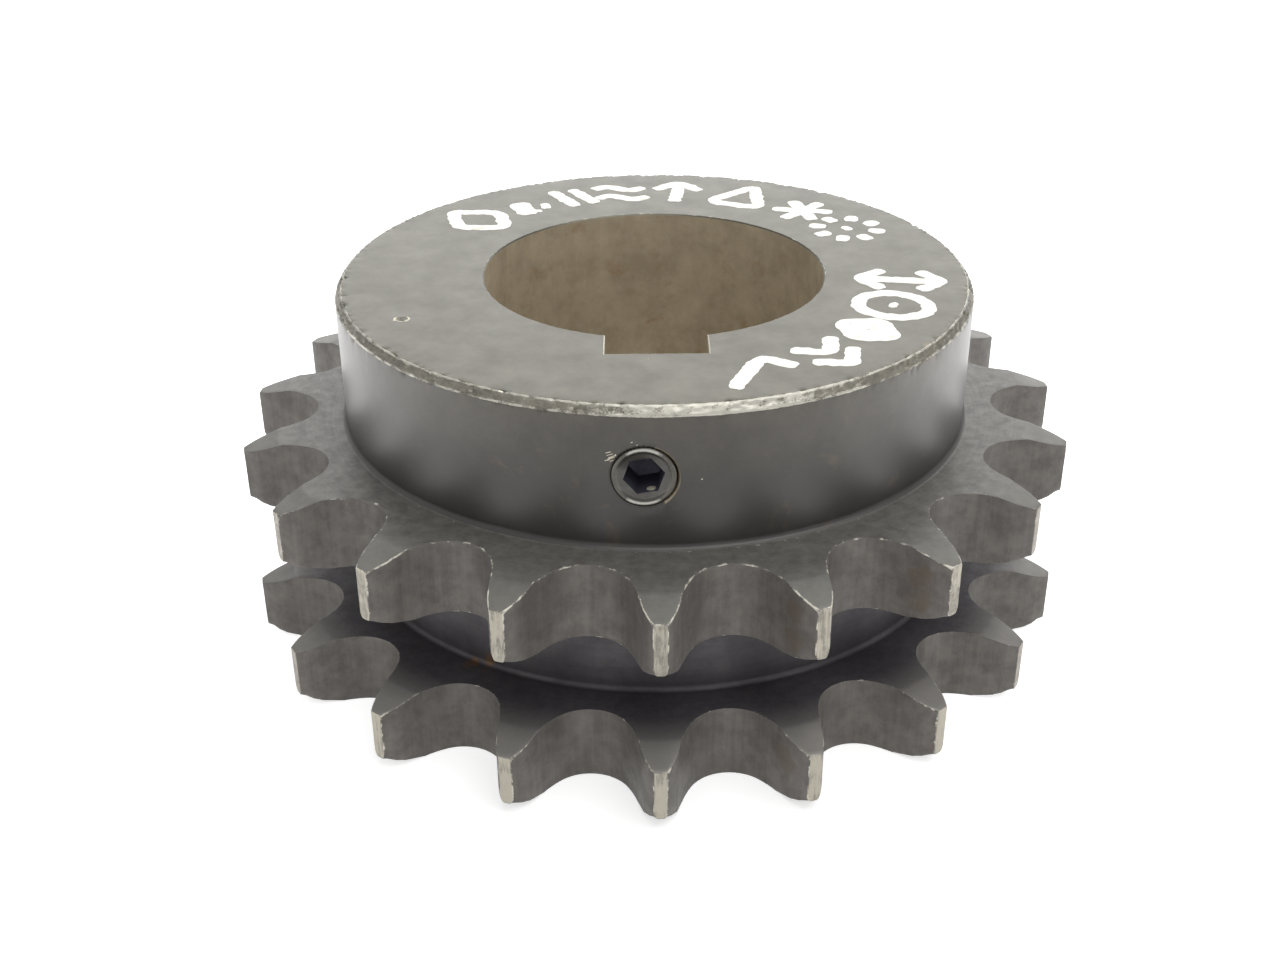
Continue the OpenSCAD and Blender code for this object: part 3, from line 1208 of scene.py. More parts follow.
    def punch_middle(self) -> Vector:
        """Returns the middle of the centre-punch mark, on the hub's face."""
        sizes = self.sizes
        return on_circle(sizes.punch_r, math.pi - math.radians(sizes.punch_turn), sizes.face_z)

    def punch(self) -> bpy.types.Object:
        """Makes the cutter for the centre-punch mark, a cone that stands past the face."""
        sizes = self.sizes
        depth = sizes.punch_depth - sizes.paint_h
        past = 0.5
        mesh = bmesh.new()
        bmesh.ops.create_cone(mesh, cap_ends=True, segments=self.div.punch_sides, radius1=0,
                              radius2=sizes.punch_d / 2 * (depth + past) / depth, depth=depth + past)
        weld(mesh)
        middle = self.punch_middle() + Vector((0, 0, (past - depth) / 2))
        bmesh.ops.translate(mesh, verts=mesh.verts, vec=middle)
        return as_object(mesh, "punch_tool")

    def from_screw_axis(self, point: Vector) -> float:
        """Returns a point's distance from the nearer set screw's axis, on that screw's side of the hub."""
        nearest = math.inf
        for turn in self.sizes.screw_turns:
            local = self.screw_place(turn).inverted() @ point
            if local.z > 0:
                nearest = min(nearest, math.hypot(local.x, local.y))
        return nearest

    def break_edges(self, mesh: BMesh) -> None:
        """Rounds the sharp edges of the teeth, marks scuffs on the teeth and on the upper edges of the bore
        and the keyway, and paints a highlight along the hub's foot.
        """
        wear_and_highlight = mesh.verts.layers.float.new(WEAR_AND_HIGHLIGHT)
        sizes, div = self.sizes, self.div
        under_tips = [edge for edge in mesh.edges if self.under_tip(edge)]
        self.bevel(mesh, under_tips, sizes.tip_rounding, div.tip_rounding)
        sharp = [
            edge for edge in mesh.edges
            if edge.is_manifold and edge.calc_face_angle() > self.sharp_angle
            and radius_of(edge.verts[0].co) > sizes.hub_r
        ]
        for vert in self.bevel(mesh, sharp, sizes.edge_break, div.edge_break):
            vert[wear_and_highlight] = self.edge_wear(vert.co)
        for vert in mesh.verts:
            if self.on_land(vert.co):
                vert[wear_and_highlight] = max(vert[wear_and_highlight], self.land_wear(vert.co))
                self.peen(vert)
            elif self.at_hub_foot(vert.co):
                # Paints a highlight along the hub's foot, strongest at the front
                vert[wear_and_highlight] = self.foot_highlight.at(vert.co) * self.front_share(vert.co)
            elif self.on_inner_edge(vert.co):
                at_key = abs(vert.co.x) < sizes.key_w / 2 + self.key_edge_reach and vert.co.y < 0
                vert[wear_and_highlight] = (self.key_edge_wear if at_key else self.bore_edge_wear).at(vert.co)
            vert[wear_and_highlight] = max(0.0, vert[wear_and_highlight]) ** (1 / WEAR_AND_HIGHLIGHT_POWER)
            self.blunt(vert)

    @staticmethod
    def bevel(mesh: BMesh, edges: list[BMEdge], offset: float, segments: int) -> list[BMVert]:
        """Rounds edges and returns the new vertices."""
        return bmesh.ops.bevel(mesh, geom=edges, offset=offset, offset_type="OFFSET", segments=segments,
                               profile=0.5, affect="EDGES", material=-1, clamp_overlap=True)["verts"]

    def under_tip(self, edge: BMEdge) -> bool:
        """Says whether a sharp edge runs round the lower end of a tooth, which handling has rounded."""
        if not edge.is_manifold or edge.calc_face_angle() < self.sharp_angle:
            return False
        return all(self.below_tooth(vert.co) for vert in edge.verts)

    def below_tooth(self, spot: Vector) -> bool:
        """Says whether a point lies on the lower chamfer of a tooth, in the tooth's outer part."""
        sizes = self.sizes
        rise = sizes.tooth_chamfer_z / sizes.tooth_chamfer_r * (radius_of(spot) - sizes.onset_r)
        off = min(abs(spot.z - level - rise) for level in (0, sizes.strand_pitch))
        return off < MERGE and radius_of(spot) > sizes.onset_r + self.blunt_from

    def tooth_middle(self, spot: Vector) -> float:
        """Returns the turn of the middle of the tooth nearest to a point, in radians."""
        step = 2 * self.sizes.half_step
        return (round(turn_of(spot) / step - 0.5) + 0.5) * step

    def blunt(self, vert: BMVert) -> None:
        """Moves a vertex so that the lower end of a tooth's tip narrows into a round, as knocks leave it."""
        sizes = self.sizes
        radius = radius_of(vert.co)
        near_tip = smooth_step(sizes.tip_r - self.blunt_in, sizes.tip_r - self.blunt_full, radius)
        base = 0.0 if vert.co.z < (sizes.ring_w + sizes.strand_pitch) / 2 else sizes.strand_pitch
        rise = max(0.0, (vert.co.z - base - sizes.tooth_chamfer_z) / self.blunt_h)
        if rise >= 1 or not near_tip:
            return
        narrowed = self.blunt_share * near_tip * (1 - math.sqrt(1 - (1 - rise) ** 2))
        middle = self.tooth_middle(vert.co)
        turn = middle + (turn_of(vert.co) - middle) * (1 - narrowed)
        lift = self.blunt_lift * (near_tip * (1 - rise)) ** 2
        vert.co = on_circle(radius - self.blunt_back * lift * near_tip, turn, vert.co.z + lift)

    def at_hub_foot(self, spot: Vector) -> bool:
        """Says whether a point lies on the line at which the hub's foot runs into the upper ring."""
        sizes = self.sizes
        return abs(radius_of(spot) - sizes.foot_r) < NEAR and abs(spot.z - sizes.ring_top) < NEAR

    def peen(self, vert: BMVert) -> None:
        """Beats a vertex of a tooth's top a little inwards, by an uneven amount."""
        depth = self.peen_least + self.peen_by * max(0.0, self.peening.at(vert.co))
        vert.co -= Vector((vert.co.x, vert.co.y, 0)).normalized() * depth

    def edge_wear(self, spot: Vector) -> float:
        """Returns how much of a broken edge is scuffed bright: more near the tips and on the upper ring."""
        sizes = self.sizes
        tip_share = smooth_step(sizes.onset_r, sizes.tip_r, radius_of(spot))
        upper = spot.z > sizes.strand_pitch + sizes.ring_w / 2
        ragged = self.edge_scratches.at(spot) + self.edge_specks.at(spot)
        most = self.edge_at_back + self.edge_at_front * self.front_share(spot)
        bare_and_highlight = self.edge_least + self.edge_at_tip * tip_share + ragged
        return bare_and_highlight * (most if upper else self.edge_lower_ring * most)

    def front_share(self, spot: Vector) -> float:
        """Returns 1 near the keyway, where the teeth have taken most knocks and the highlight painted along
        the hub's foot is strongest, and 0 at the sides and back.
        """
        return smooth_step(self.front_from, self.front_full, -spot.y / radius_of(spot))

    def on_land(self, spot: Vector) -> bool:
        """Says whether a point lies on the top of a tooth."""
        return radius_of(spot) > self.sizes.tip_r - NEAR

    def land_wear(self, spot: Vector) -> float:
        """Returns how much of a tooth's top is scuffed bright, which is most at the keyway's side."""
        off = abs(turn_of(spot) - self.tooth_middle(spot)) * radius_of(spot)
        lower = 0.0 if spot.z > self.sizes.strand_pitch else self.land_lower_ring
        at_edge = smooth_step(self.land_inner * self.half_land, self.half_land, off)
        rub_and_highlight = self.land_at_front + lower + self.land_at_edge * at_edge
        return self.land_least + rub_and_highlight * self.front_share(spot) + self.land_patches.at(spot)

    def on_inner_edge(self, spot: Vector) -> bool:
        """Says whether a point lies on the upper edge of the bore or of the keyway."""
        sizes = self.sizes
        if spot.z < sizes.face_z - self.inner_edge_h:
            return False
        reach = self.inner_edge_w + (sizes.key_edge if spot.z > sizes.face_z - MERGE else 0)
        in_key = abs(spot.x) < sizes.key_w / 2 + reach and -sizes.key_floor - reach < spot.y < 0
        return in_key or radius_of(spot) < sizes.bore_out + self.inner_edge_w

    def batter_rim(self, mesh: BMesh) -> None:
        """Knocks dents and chips into the chamfer at the hub's rim."""
        sizes = self.sizes
        wear_and_highlight = mesh.verts.layers.float[WEAR_AND_HIGHLIGHT]
        low, inner = sizes.rim_low, sizes.rim_in
        for vert in mesh.verts:
            radius = radius_of(vert.co)
            if vert.co.z < low - self.battered_w or radius < inner - self.battered_w:
                continue
            inward = Vector((-vert.co.x / radius, -vert.co.y / radius, -1)).normalized()
            from_chamfer = max(0.0, low - vert.co.z, inner - radius)
            hold = 1 - smooth_step(0.0, self.knocked_w, from_chamfer)
            place = vert.co.copy()
            dents = max(0.0, self.knocks.at(place) + self.chips.at(place) - self.knocks_spare)
            vert.co += inward * hold * (self.knock_depth * dents + max(0.0, self.ripples.at(place)))
            # Marks the rim's bright metal: scuffs along its edges, and a painted highlight over its front
            # stretch
            if from_chamfer < self.rim_margin:
                vert[wear_and_highlight] = self.rim_wear_and_highlight(place, (sizes.face_z - place.z) / sizes.hub_chamfer_z)

    def rim_wear_and_highlight(self, spot: Vector, down: float) -> float:
        """Returns how much of the rim's chamfer shows bright metal.

        Args:
            spot: A point of the rim.
            down: 0 at the chamfer's upper edge and 1 at its lower edge.

        Returns:
            The bright share: scuffs, most along both edges, and a painted highlight over the front stretch
                near the keyway.
        """
        turn = math.degrees(math.atan2(spot.x, -spot.y))
        rub_and_highlight = 1 - smooth_step(*self.highlight_reach, abs(turn - self.highlight_turn))
        if down < self.rim_edge:
            share = self.rim_upper_wear.at(spot) + self.rim_upper_highlight * rub_and_highlight
        elif down > 1 - self.rim_edge:
            share = self.rim_lower_wear.at(spot) + self.rim_lower_highlight * rub_and_highlight
        else:
            share = self.rim_middle_wear.at(spot) + self.rim_middle_highlight * rub_and_highlight
        return min(self.rim_most, max(0.0, share)) ** (1 / WEAR_AND_HIGHLIGHT_POWER)

    def stain(self, mesh: BMesh) -> None:
        """Marks the vertices that lie in patches of rust."""
        rust = mesh.verts.layers.float.new(RUST)
        for vert in mesh.verts:
            vert[rust] = max(patch.share(vert.co) for patch in STAINS)

    def paint_skins(self, body: bpy.types.Object) -> None:
        """Gives each face the slot of its surface, and keeps curved surfaces smooth."""
        for polygon in body.data.polygons:
            polygon.material_index = self.skin_at(polygon.center / METRES, polygon.normal).value
            polygon.use_smooth = True

    def skin_at(self, spot: Vector, normal: Vector) -> Skin:
        """Says which surface a face belongs to.

        Args:
            spot: The face's middle, in millimetres.
            normal: Its normal.

        Returns:
            The surface.
        """
        sizes = self.sizes
        radius = radius_of(spot)
        outward = (normal.x * spot.x + normal.y * spot.y) / radius
        lies_flat = abs(normal.z) > self.flat_from
        if radius < sizes.key_floor + self.bore_margin and not lies_flat:
            return Skin.BORE
        near_hole = self.from_screw_axis(spot) < sizes.thread_d / 2 + self.hole_margin
        at_hole_height = sizes.ring_top < spot.z < sizes.face_z - self.hole_margin
        if near_hole and at_hole_height and outward < self.hole_inward and radius < sizes.hub_r - NEAR:
            return Skin.TAPPED_HOLE
        if spot.z > sizes.rim_low - self.rim_margin and radius > sizes.rim_in - self.rim_margin:
            return Skin.HUB_RIM
        if spot.z > sizes.ring_top + self.foot_margin:
            return Skin.HUB_FACE if lies_flat and radius < sizes.hub_r else Skin.HUB_SIDE
        if radius < sizes.groove_r + sizes.root_fillet and sizes.ring_w < spot.z < sizes.strand_pitch:
            return Skin.GROOVE
        if lies_flat:
            return Skin.RING_FACE if spot.z > sizes.strand_pitch + 1 else Skin.LOWER_FACE
        if radius > sizes.tip_r - self.land_depth and outward > self.land_outward:
            return Skin.LAND
        return Skin.GAP_WALL

    def build(self) -> bpy.types.Object:
        """Builds the body with its tapped holes.

        Returns:
            The finished object, in metres.
        """
        mesh = self.whole_turn()
        self.broach_keyway(mesh)
        LOG.info("turned and hobbed mesh: %d faces", len(mesh.faces))
        body = as_object(mesh, self.name)
        taps = [self.tap(f"tap_{number}", turn) for number, turn in enumerate(self.sizes.screw_turns)]
        carve(body, [*taps, self.punch()])
        mesh = bmesh.new()
        mesh.from_mesh(body.data)
        self.break_edges(mesh)
        self.batter_rim(mesh)
        self.stain(mesh)
        mesh.to_mesh(body.data)
        mesh.free()
        body.data.transform(Matrix.Scale(METRES, 4))
        self.paint_skins(body)
        hard_edges(body)
        for skin, finish in SKIN_FINISHES.items():
            body.data.materials.append(finish.material())
            LOG.info("%s dressed as %s", skin.name, finish.name)
        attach(body, "root")
        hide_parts("sprocket_body")
        return body


Path = list[Vector]


def bar(x: float, length: float, lean: float = 0, y: float = 0) -> Path:
    """Returns a straight path whose middle is at (x, y) and whose ends lie lean apart sideways."""
    half = Vector((lean, length, 0)) / 2
    middle = Vector((x, y, 0))
    return [middle - half, middle + half]


def closed_shape(corners: int, width: float, height: float, turn: float = 0) -> Path:
    """Returns a path round a regular shape, which runs on a little past its start."""
    laps = [math.tau * step / corners + turn for step in range(corners + 2)]
    path = [Vector((width / 2 * math.sin(lap), height / 2 * math.cos(lap), 0)) for lap in laps]
    path[-1] = path[-2].lerp(path[-1], 0.4)
    return path


def wave(y: float, width: float, height: float, swings: int, steps: int) -> Path:
    """Returns a path that swings up and down across the width."""
    shares = [step / steps for step in range(steps + 1)]
    return [
        Vector((width * (share - 0.5), y + height / 2 * math.sin(math.tau * swings * share), 0))
        for share in shares
    ]


def bend(width: float, height: float, y: float = 0) -> Path:
    """Returns the path of a caret, which points up."""
    return [Vector((-width / 2, y - height, 0)), Vector((0, y, 0)), Vector((width / 2, y - height, 0))]


def drawn_smoothly(corners: Path, step: float, rounds: int = 2, cut_off: float = 0.14) -> Path:
    """Cuts a share of each side off a path's corners, and returns points at even steps along it."""
    path = corners
    for _ in range(rounds):
        cut = [path[0]]
        for start, end in zip(path, path[1:]):
            cut += [start.lerp(end, cut_off), start.lerp(end, 1 - cut_off)]
        path = [*cut, path[-1]]
    points = [path[0]]
    for start, end in zip(path, path[1:]):
        while (end - points[-1]).length >= step:
            points.append(points[-1] + (end - points[-1]).normalized() * step)
    return points


@dataclass(frozen=True)
class Ribbon:
    """A thin film that a pen or a blow leaves on a surface, thickest in its middle."""

    width: float
    film: float
    waver: float = 0.14
    step: float = 0.3
    columns: int = 4
    crowding: float = 0.4
    blunt_end: float = 0.15
    waver_rate: float = 0.9
    sides_apart: float = 3.0
    crown: int = 4

    def lay(self, mesh: BMesh, corners: Path, place: Matrix, round_r: float = 0) -> None:
        """Lays one stroke, as a strip that is bent along its path.

        Args:
            mesh: Mesh that takes the stroke.
            corners: Corners of the path of its middle.
            place: Frame of the drawing on the object.
            round_r: Radius of the cylinder about the drawing's Y that it is wrapped on, or 0 for a flat one.
        """
        path = drawn_smoothly(corners, self.step)
        last = len(path) - 1
        half = self.width / 2
        strip = bmesh.ops.create_grid(mesh, x_segments=self.columns, y_segments=last, size=1)["verts"]
        for vert in strip:
            number = round((vert.co.y + 1) / 2 * last)
            share = math.copysign(abs(vert.co.x) ** self.crowding, vert.co.x)
            point = path[number]
            ahead = path[min(number + 1, last)] - path[max(number - 1, 0)]
            across = Vector((-ahead.y, ahead.x, 0)).normalized()
            to_end = min(number, last - number) * self.step + self.blunt_end * half
            closing = math.sqrt(max(0.0, 1 - max(0.0, 1 - to_end / half) ** 2))
            own_side = Vector((0, 0, math.copysign(self.sides_apart, share)))
            unsteady = noise.noise(place @ point * self.waver_rate + own_side)
            spot = point + across * share * half * closing * (1 + 2 * self.waver * unsteady)
            spot.z = self.film * closing * (1 - share**self.crown)
            if round_r:
                turn = spot.x / round_r
                out = round_r + spot.z
                spot = Vector((out * math.sin(turn), spot.y, out * math.cos(turn)))
            vert.co = place @ spot


@dataclass(frozen=True)
class Mark:
    """One painted sign on the hub's face: its middle's radius and turn from the back, and the pen's paths."""

    radius: float
    turn: float
    paths: tuple[Path, ...]
    width: float = 2.2


@dataclass(frozen=True)
class PenPaint:
    """Paint of a broad marker pen: a slightly yellow satin white that covers fully."""

    name: str
    colour: str
    thin_colour: str
    patch_mm: float = 2.5

    def material(self) -> bpy.types.Material:
        """Builds the paint with a few thinner places."""
        made, tree, shader = start_material(self.name)
        shader.inputs["Roughness"].default_value = 0.5
        spot = add_node(tree, "ShaderNodeTexCoord").outputs["Object"]
        cover = add_node(tree, "ShaderNodeTexNoise", {"Scale": per_mm(self.patch_mm), "Detail": 4.0},
                         {"Vector": spot})
        thin = add_node(tree, "ShaderNodeMapRange", {"From Min": 0.62, "From Max": 0.75},
                        {"Value": cover.outputs["Fac"]})
        colour = add_node(tree, "ShaderNodeMix", {"data_type": "RGBA", MIX_A: linear(self.colour),
                          MIX_B: linear(self.thin_colour)}, {"Factor": thin.outputs[0]})
        tree.links.new(colour.outputs[MIX_RESULT], shader.inputs["Base Color"])
        return made


def rays(count: int, inner: float, outer: float) -> tuple[Path, ...]:
    """Returns the short paths of a burst's rays."""
    turns = [math.tau * step / count for step in range(count)]
    return tuple([on_circle(inner, turn), on_circle(outer, turn)] for turn in turns)


MARKS = (
    Mark(36.4, -50.6, (closed_shape(4, 9.6, 12.0),)),
    Mark(35.6, -36.6, (bar(0.0, 6.4, 1.5),), 3.4),
    Mark(34.6, -30.5, (bar(0.0, 2.6, 0.8), bar(-2.2, 1.2, 0.9, -1.4)), 1.7),
    Mark(36.6, -21.2, (bar(-1.6, 9.0, -1.6), bar(1.9, 8.4, -1.6))),
    Mark(36.5, -8.2, (wave(2.6, 8.6, 2.4, 1, 8), wave(-2.2, 8.6, 2.4, 1, 8))),
    Mark(36.8, 6.9, (bar(0.0, 10.0), bend(8.0, 4.2, 5.2))),
    Mark(36.2, 24.4, (closed_shape(3, 10.8, 13.4),)),
    Mark(36.4, 43.0, (bar(0, 10.4), bar(0, 5.4, 8.4), bar(0, -5.4, 8.4))),
    Mark(35.8, 60.3, (bar(0, 1.6), *rays(8, 3.4, 6.2))),
    Mark(36.6, 97.6, (bar(0.0, 11.6), bend(7.6, 3.6, 6.2), bend(7.6, -3.6, -6.2))),
    Mark(36.8, 113.2, (closed_shape(12, 9.0, 10.4), bar(0, 1.2))),
    Mark(37.2, 128.6, (closed_shape(4, 7.4, 8.6), closed_shape(4, 3.4, 4.4))),
    Mark(38.4, 143.4, (bend(7.6, 4.0, 4.6), bend(7.6, 4.0, 0.2))),
    Mark(38.6, 160.0, ([Vector((-5.2, 0.6, 0)), Vector((-1.6, -3.6, 0)), Vector((5.4, 4.2, 0))],)),
)
PAINT = PenPaint("white_pen_paint", "#FBFAF0", "#DAD5C4")


class PaintMarks:
    """Plain signs that a store's marker pen has left round the hub's face."""

    name = "pen_marks"
    below_top = 0.005

    def __init__(self, sizes: Sizes) -> None:
        """Takes the sizes, which give the face and the paint's thickness."""
        self.sizes = sizes

    def build(self) -> bpy.types.Object:
        """Draws every sign.

        Returns:
            The finished object, in metres.
        """
        mesh = bmesh.new()
        face = Matrix.Translation((0, 0, self.sizes.face_z))
        for mark in MARKS:
            turned = Matrix.Rotation(-math.radians(mark.turn), 4, "Z")
            place = face @ turned @ Matrix.Translation((0, mark.radius, 0))
            ribbon = Ribbon(mark.width, self.sizes.paint_h - self.below_top)
            for path in mark.paths:
                ribbon.lay(mesh, path, place)
        paint = film_object(mesh, self.name, PAINT.material())
        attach(paint, "root")
        return paint


@dataclass(frozen=True)
class Nick:
    """A small bright scar: its turn from the keyway in degrees, then its place and size in mm."""

    turn: float
    radius: float
    z: float
    length: float
    lean: float = 0.0
    width: float = 0.3


NICKS = (
    Nick(-7.75, 47.3, 47.75, 0.2, 0.7, 0.13),
    Nick(-7.5, 47.3, 47.45, 0.3, 0.9, 0.11),
    Nick(-7.1, 47.3, 47.2, 0.45, 1.1, 0.2),
    Nick(-7.35, 47.3, 46.95, 0.35, 0.9, 0.15),
    Nick(-7.9, 47.3, 46.65, 0.2, 0.7, 0.13),
    Nick(-7.2, 47.3, 46.6, 0.3, 0.5, 0.11),
    Nick(-6.8, 47.3, 47.35, 0.5, 0.5, 0.11),
    Nick(6.65, 47.3, 43.9, 0.16, 0.2, 0.18),
    Nick(-4.1, 47.3, 49.3, 0.15, 0.3, 0.18),
    Nick(-3.3, 47.3, 48.95, 0.1, 0.25, 0.14),
)


class BrightNicksAndGlint:
    """Small bright scars: round the set screw, round the punch mark, and specks of dust on the flat faces,
    with a glint painted in the key screw's socket.
    """

    name = "bright_nicks_and_glint"
    specks = 40
    hub_share = 0.25
    speck_sizes = (0.07, 0.15)
    speck_lean = 0.1
    off_keyway = 1.0
    off_rim = 3.0
    off_foot = 1.2
    off_tips = 2.0
    lips = ((145.0, 225.0, 0.5), (-65.0, 60.0, 0.26), (235.0, 290.0, 0.14))
    lip_off = 0.3
    lip_steps = 6
    # How deep in the socket the painted glint lies
    glint_depth = 1.0

    def __init__(self, sizes: Sizes, key_screw: Matrix, punch: Vector) -> None:
        """Takes the sizes, the key screw's frame and the punch mark's place, and sets the dust's dice."""
        self.sizes = sizes
        self.key_screw = key_screw
        self.punch = punch
        self.dice = random.Random(19)

    def scar(self, mesh: BMesh, nick: Nick) -> None:
        """Lays one scar on the hub's side."""
        place = Matrix.Rotation(math.radians(nick.turn), 4, "Z") @ Matrix.Rotation(math.pi / 2, 4, "X")
        ribbon = Ribbon(nick.width, film=0.02, waver=0.35, step=0.06)
        ribbon.lay(mesh, bar(0, nick.length, nick.lean, nick.z), place, nick.radius)

    def lip(self, mesh: BMesh, start: float, end: float, width: float) -> None:
        """Lays part of the metal that the punch has pushed up, between two angles in degrees."""
        lip_r, steps = self.sizes.punch_d / 2 + self.lip_off, self.lip_steps
        turns = [math.radians(start + (end - start) * step / steps) for step in range(steps + 1)]
        Ribbon(width, film=0.045, waver=0.3, step=0.12).lay(
            mesh, [lip_r * direction(turn) for turn in turns], Matrix.Translation(self.punch)
        )

    def socket_glint(self, mesh: BMesh) -> None:
        """Lays a bright patch on the lower flat of the screw's socket: a painted glint."""
        sizes = self.sizes
        lower_flat = math.radians(sizes.socket_turn - 90)
        place = (
            self.key_screw
            @ Matrix.Translation((0, 0, sizes.hub_r - sizes.screw_sink - self.glint_depth))
            @ Matrix.Rotation(lower_flat, 4, "Z")
            @ Matrix.Translation((sizes.socket_af / 2, 0, 0))
            @ Matrix.Rotation(-math.pi / 2, 4, "Y")
        )
        path = bar(0.0, length=1.3, lean=0.2, y=0.5)
        Ribbon(width=1.2, film=0.05, waver=0.3, step=0.2).lay(mesh, path, place)

    def speck(self, mesh: BMesh) -> None:
        """Lays one speck of dust on the hub's face or on the upper ring's."""
        sizes = self.sizes
        on_hub = self.dice.random() < self.hub_share
        hub_face = (sizes.key_floor + self.off_keyway, sizes.hub_r - self.off_rim)
        ring_face = (sizes.hub_r + self.off_foot, sizes.onset_r - self.off_tips)
        inner, outer = hub_face if on_hub else ring_face
        level = sizes.face_z if on_hub else sizes.ring_top
        middle = on_circle(self.dice.uniform(inner, outer), self.dice.uniform(0, math.tau), level)
        size = self.dice.uniform(*self.speck_sizes)
        lean = self.dice.uniform(-self.speck_lean, self.speck_lean)
        ribbon = Ribbon(size, film=0.02, waver=0.4, step=0.06)
        ribbon.lay(mesh, bar(0, size, lean), Matrix.Translation(middle))

    def build(self) -> bpy.types.Object:
        """Lays every scar, lip and speck, and the painted glint.

        Returns:
            The finished object, in metres.
        """
        mesh = bmesh.new()
        for nick in NICKS:
            self.scar(mesh, nick)
        for lip in self.lips:
            self.lip(mesh, *lip)
        self.socket_glint(mesh)
        for _ in range(self.specks):
            self.speck(mesh)
        nicks_and_glint = film_object(mesh, self.name, NICK_AND_GLINT_STEEL.material())
        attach(nicks_and_glint, "root")
        return nicks_and_glint


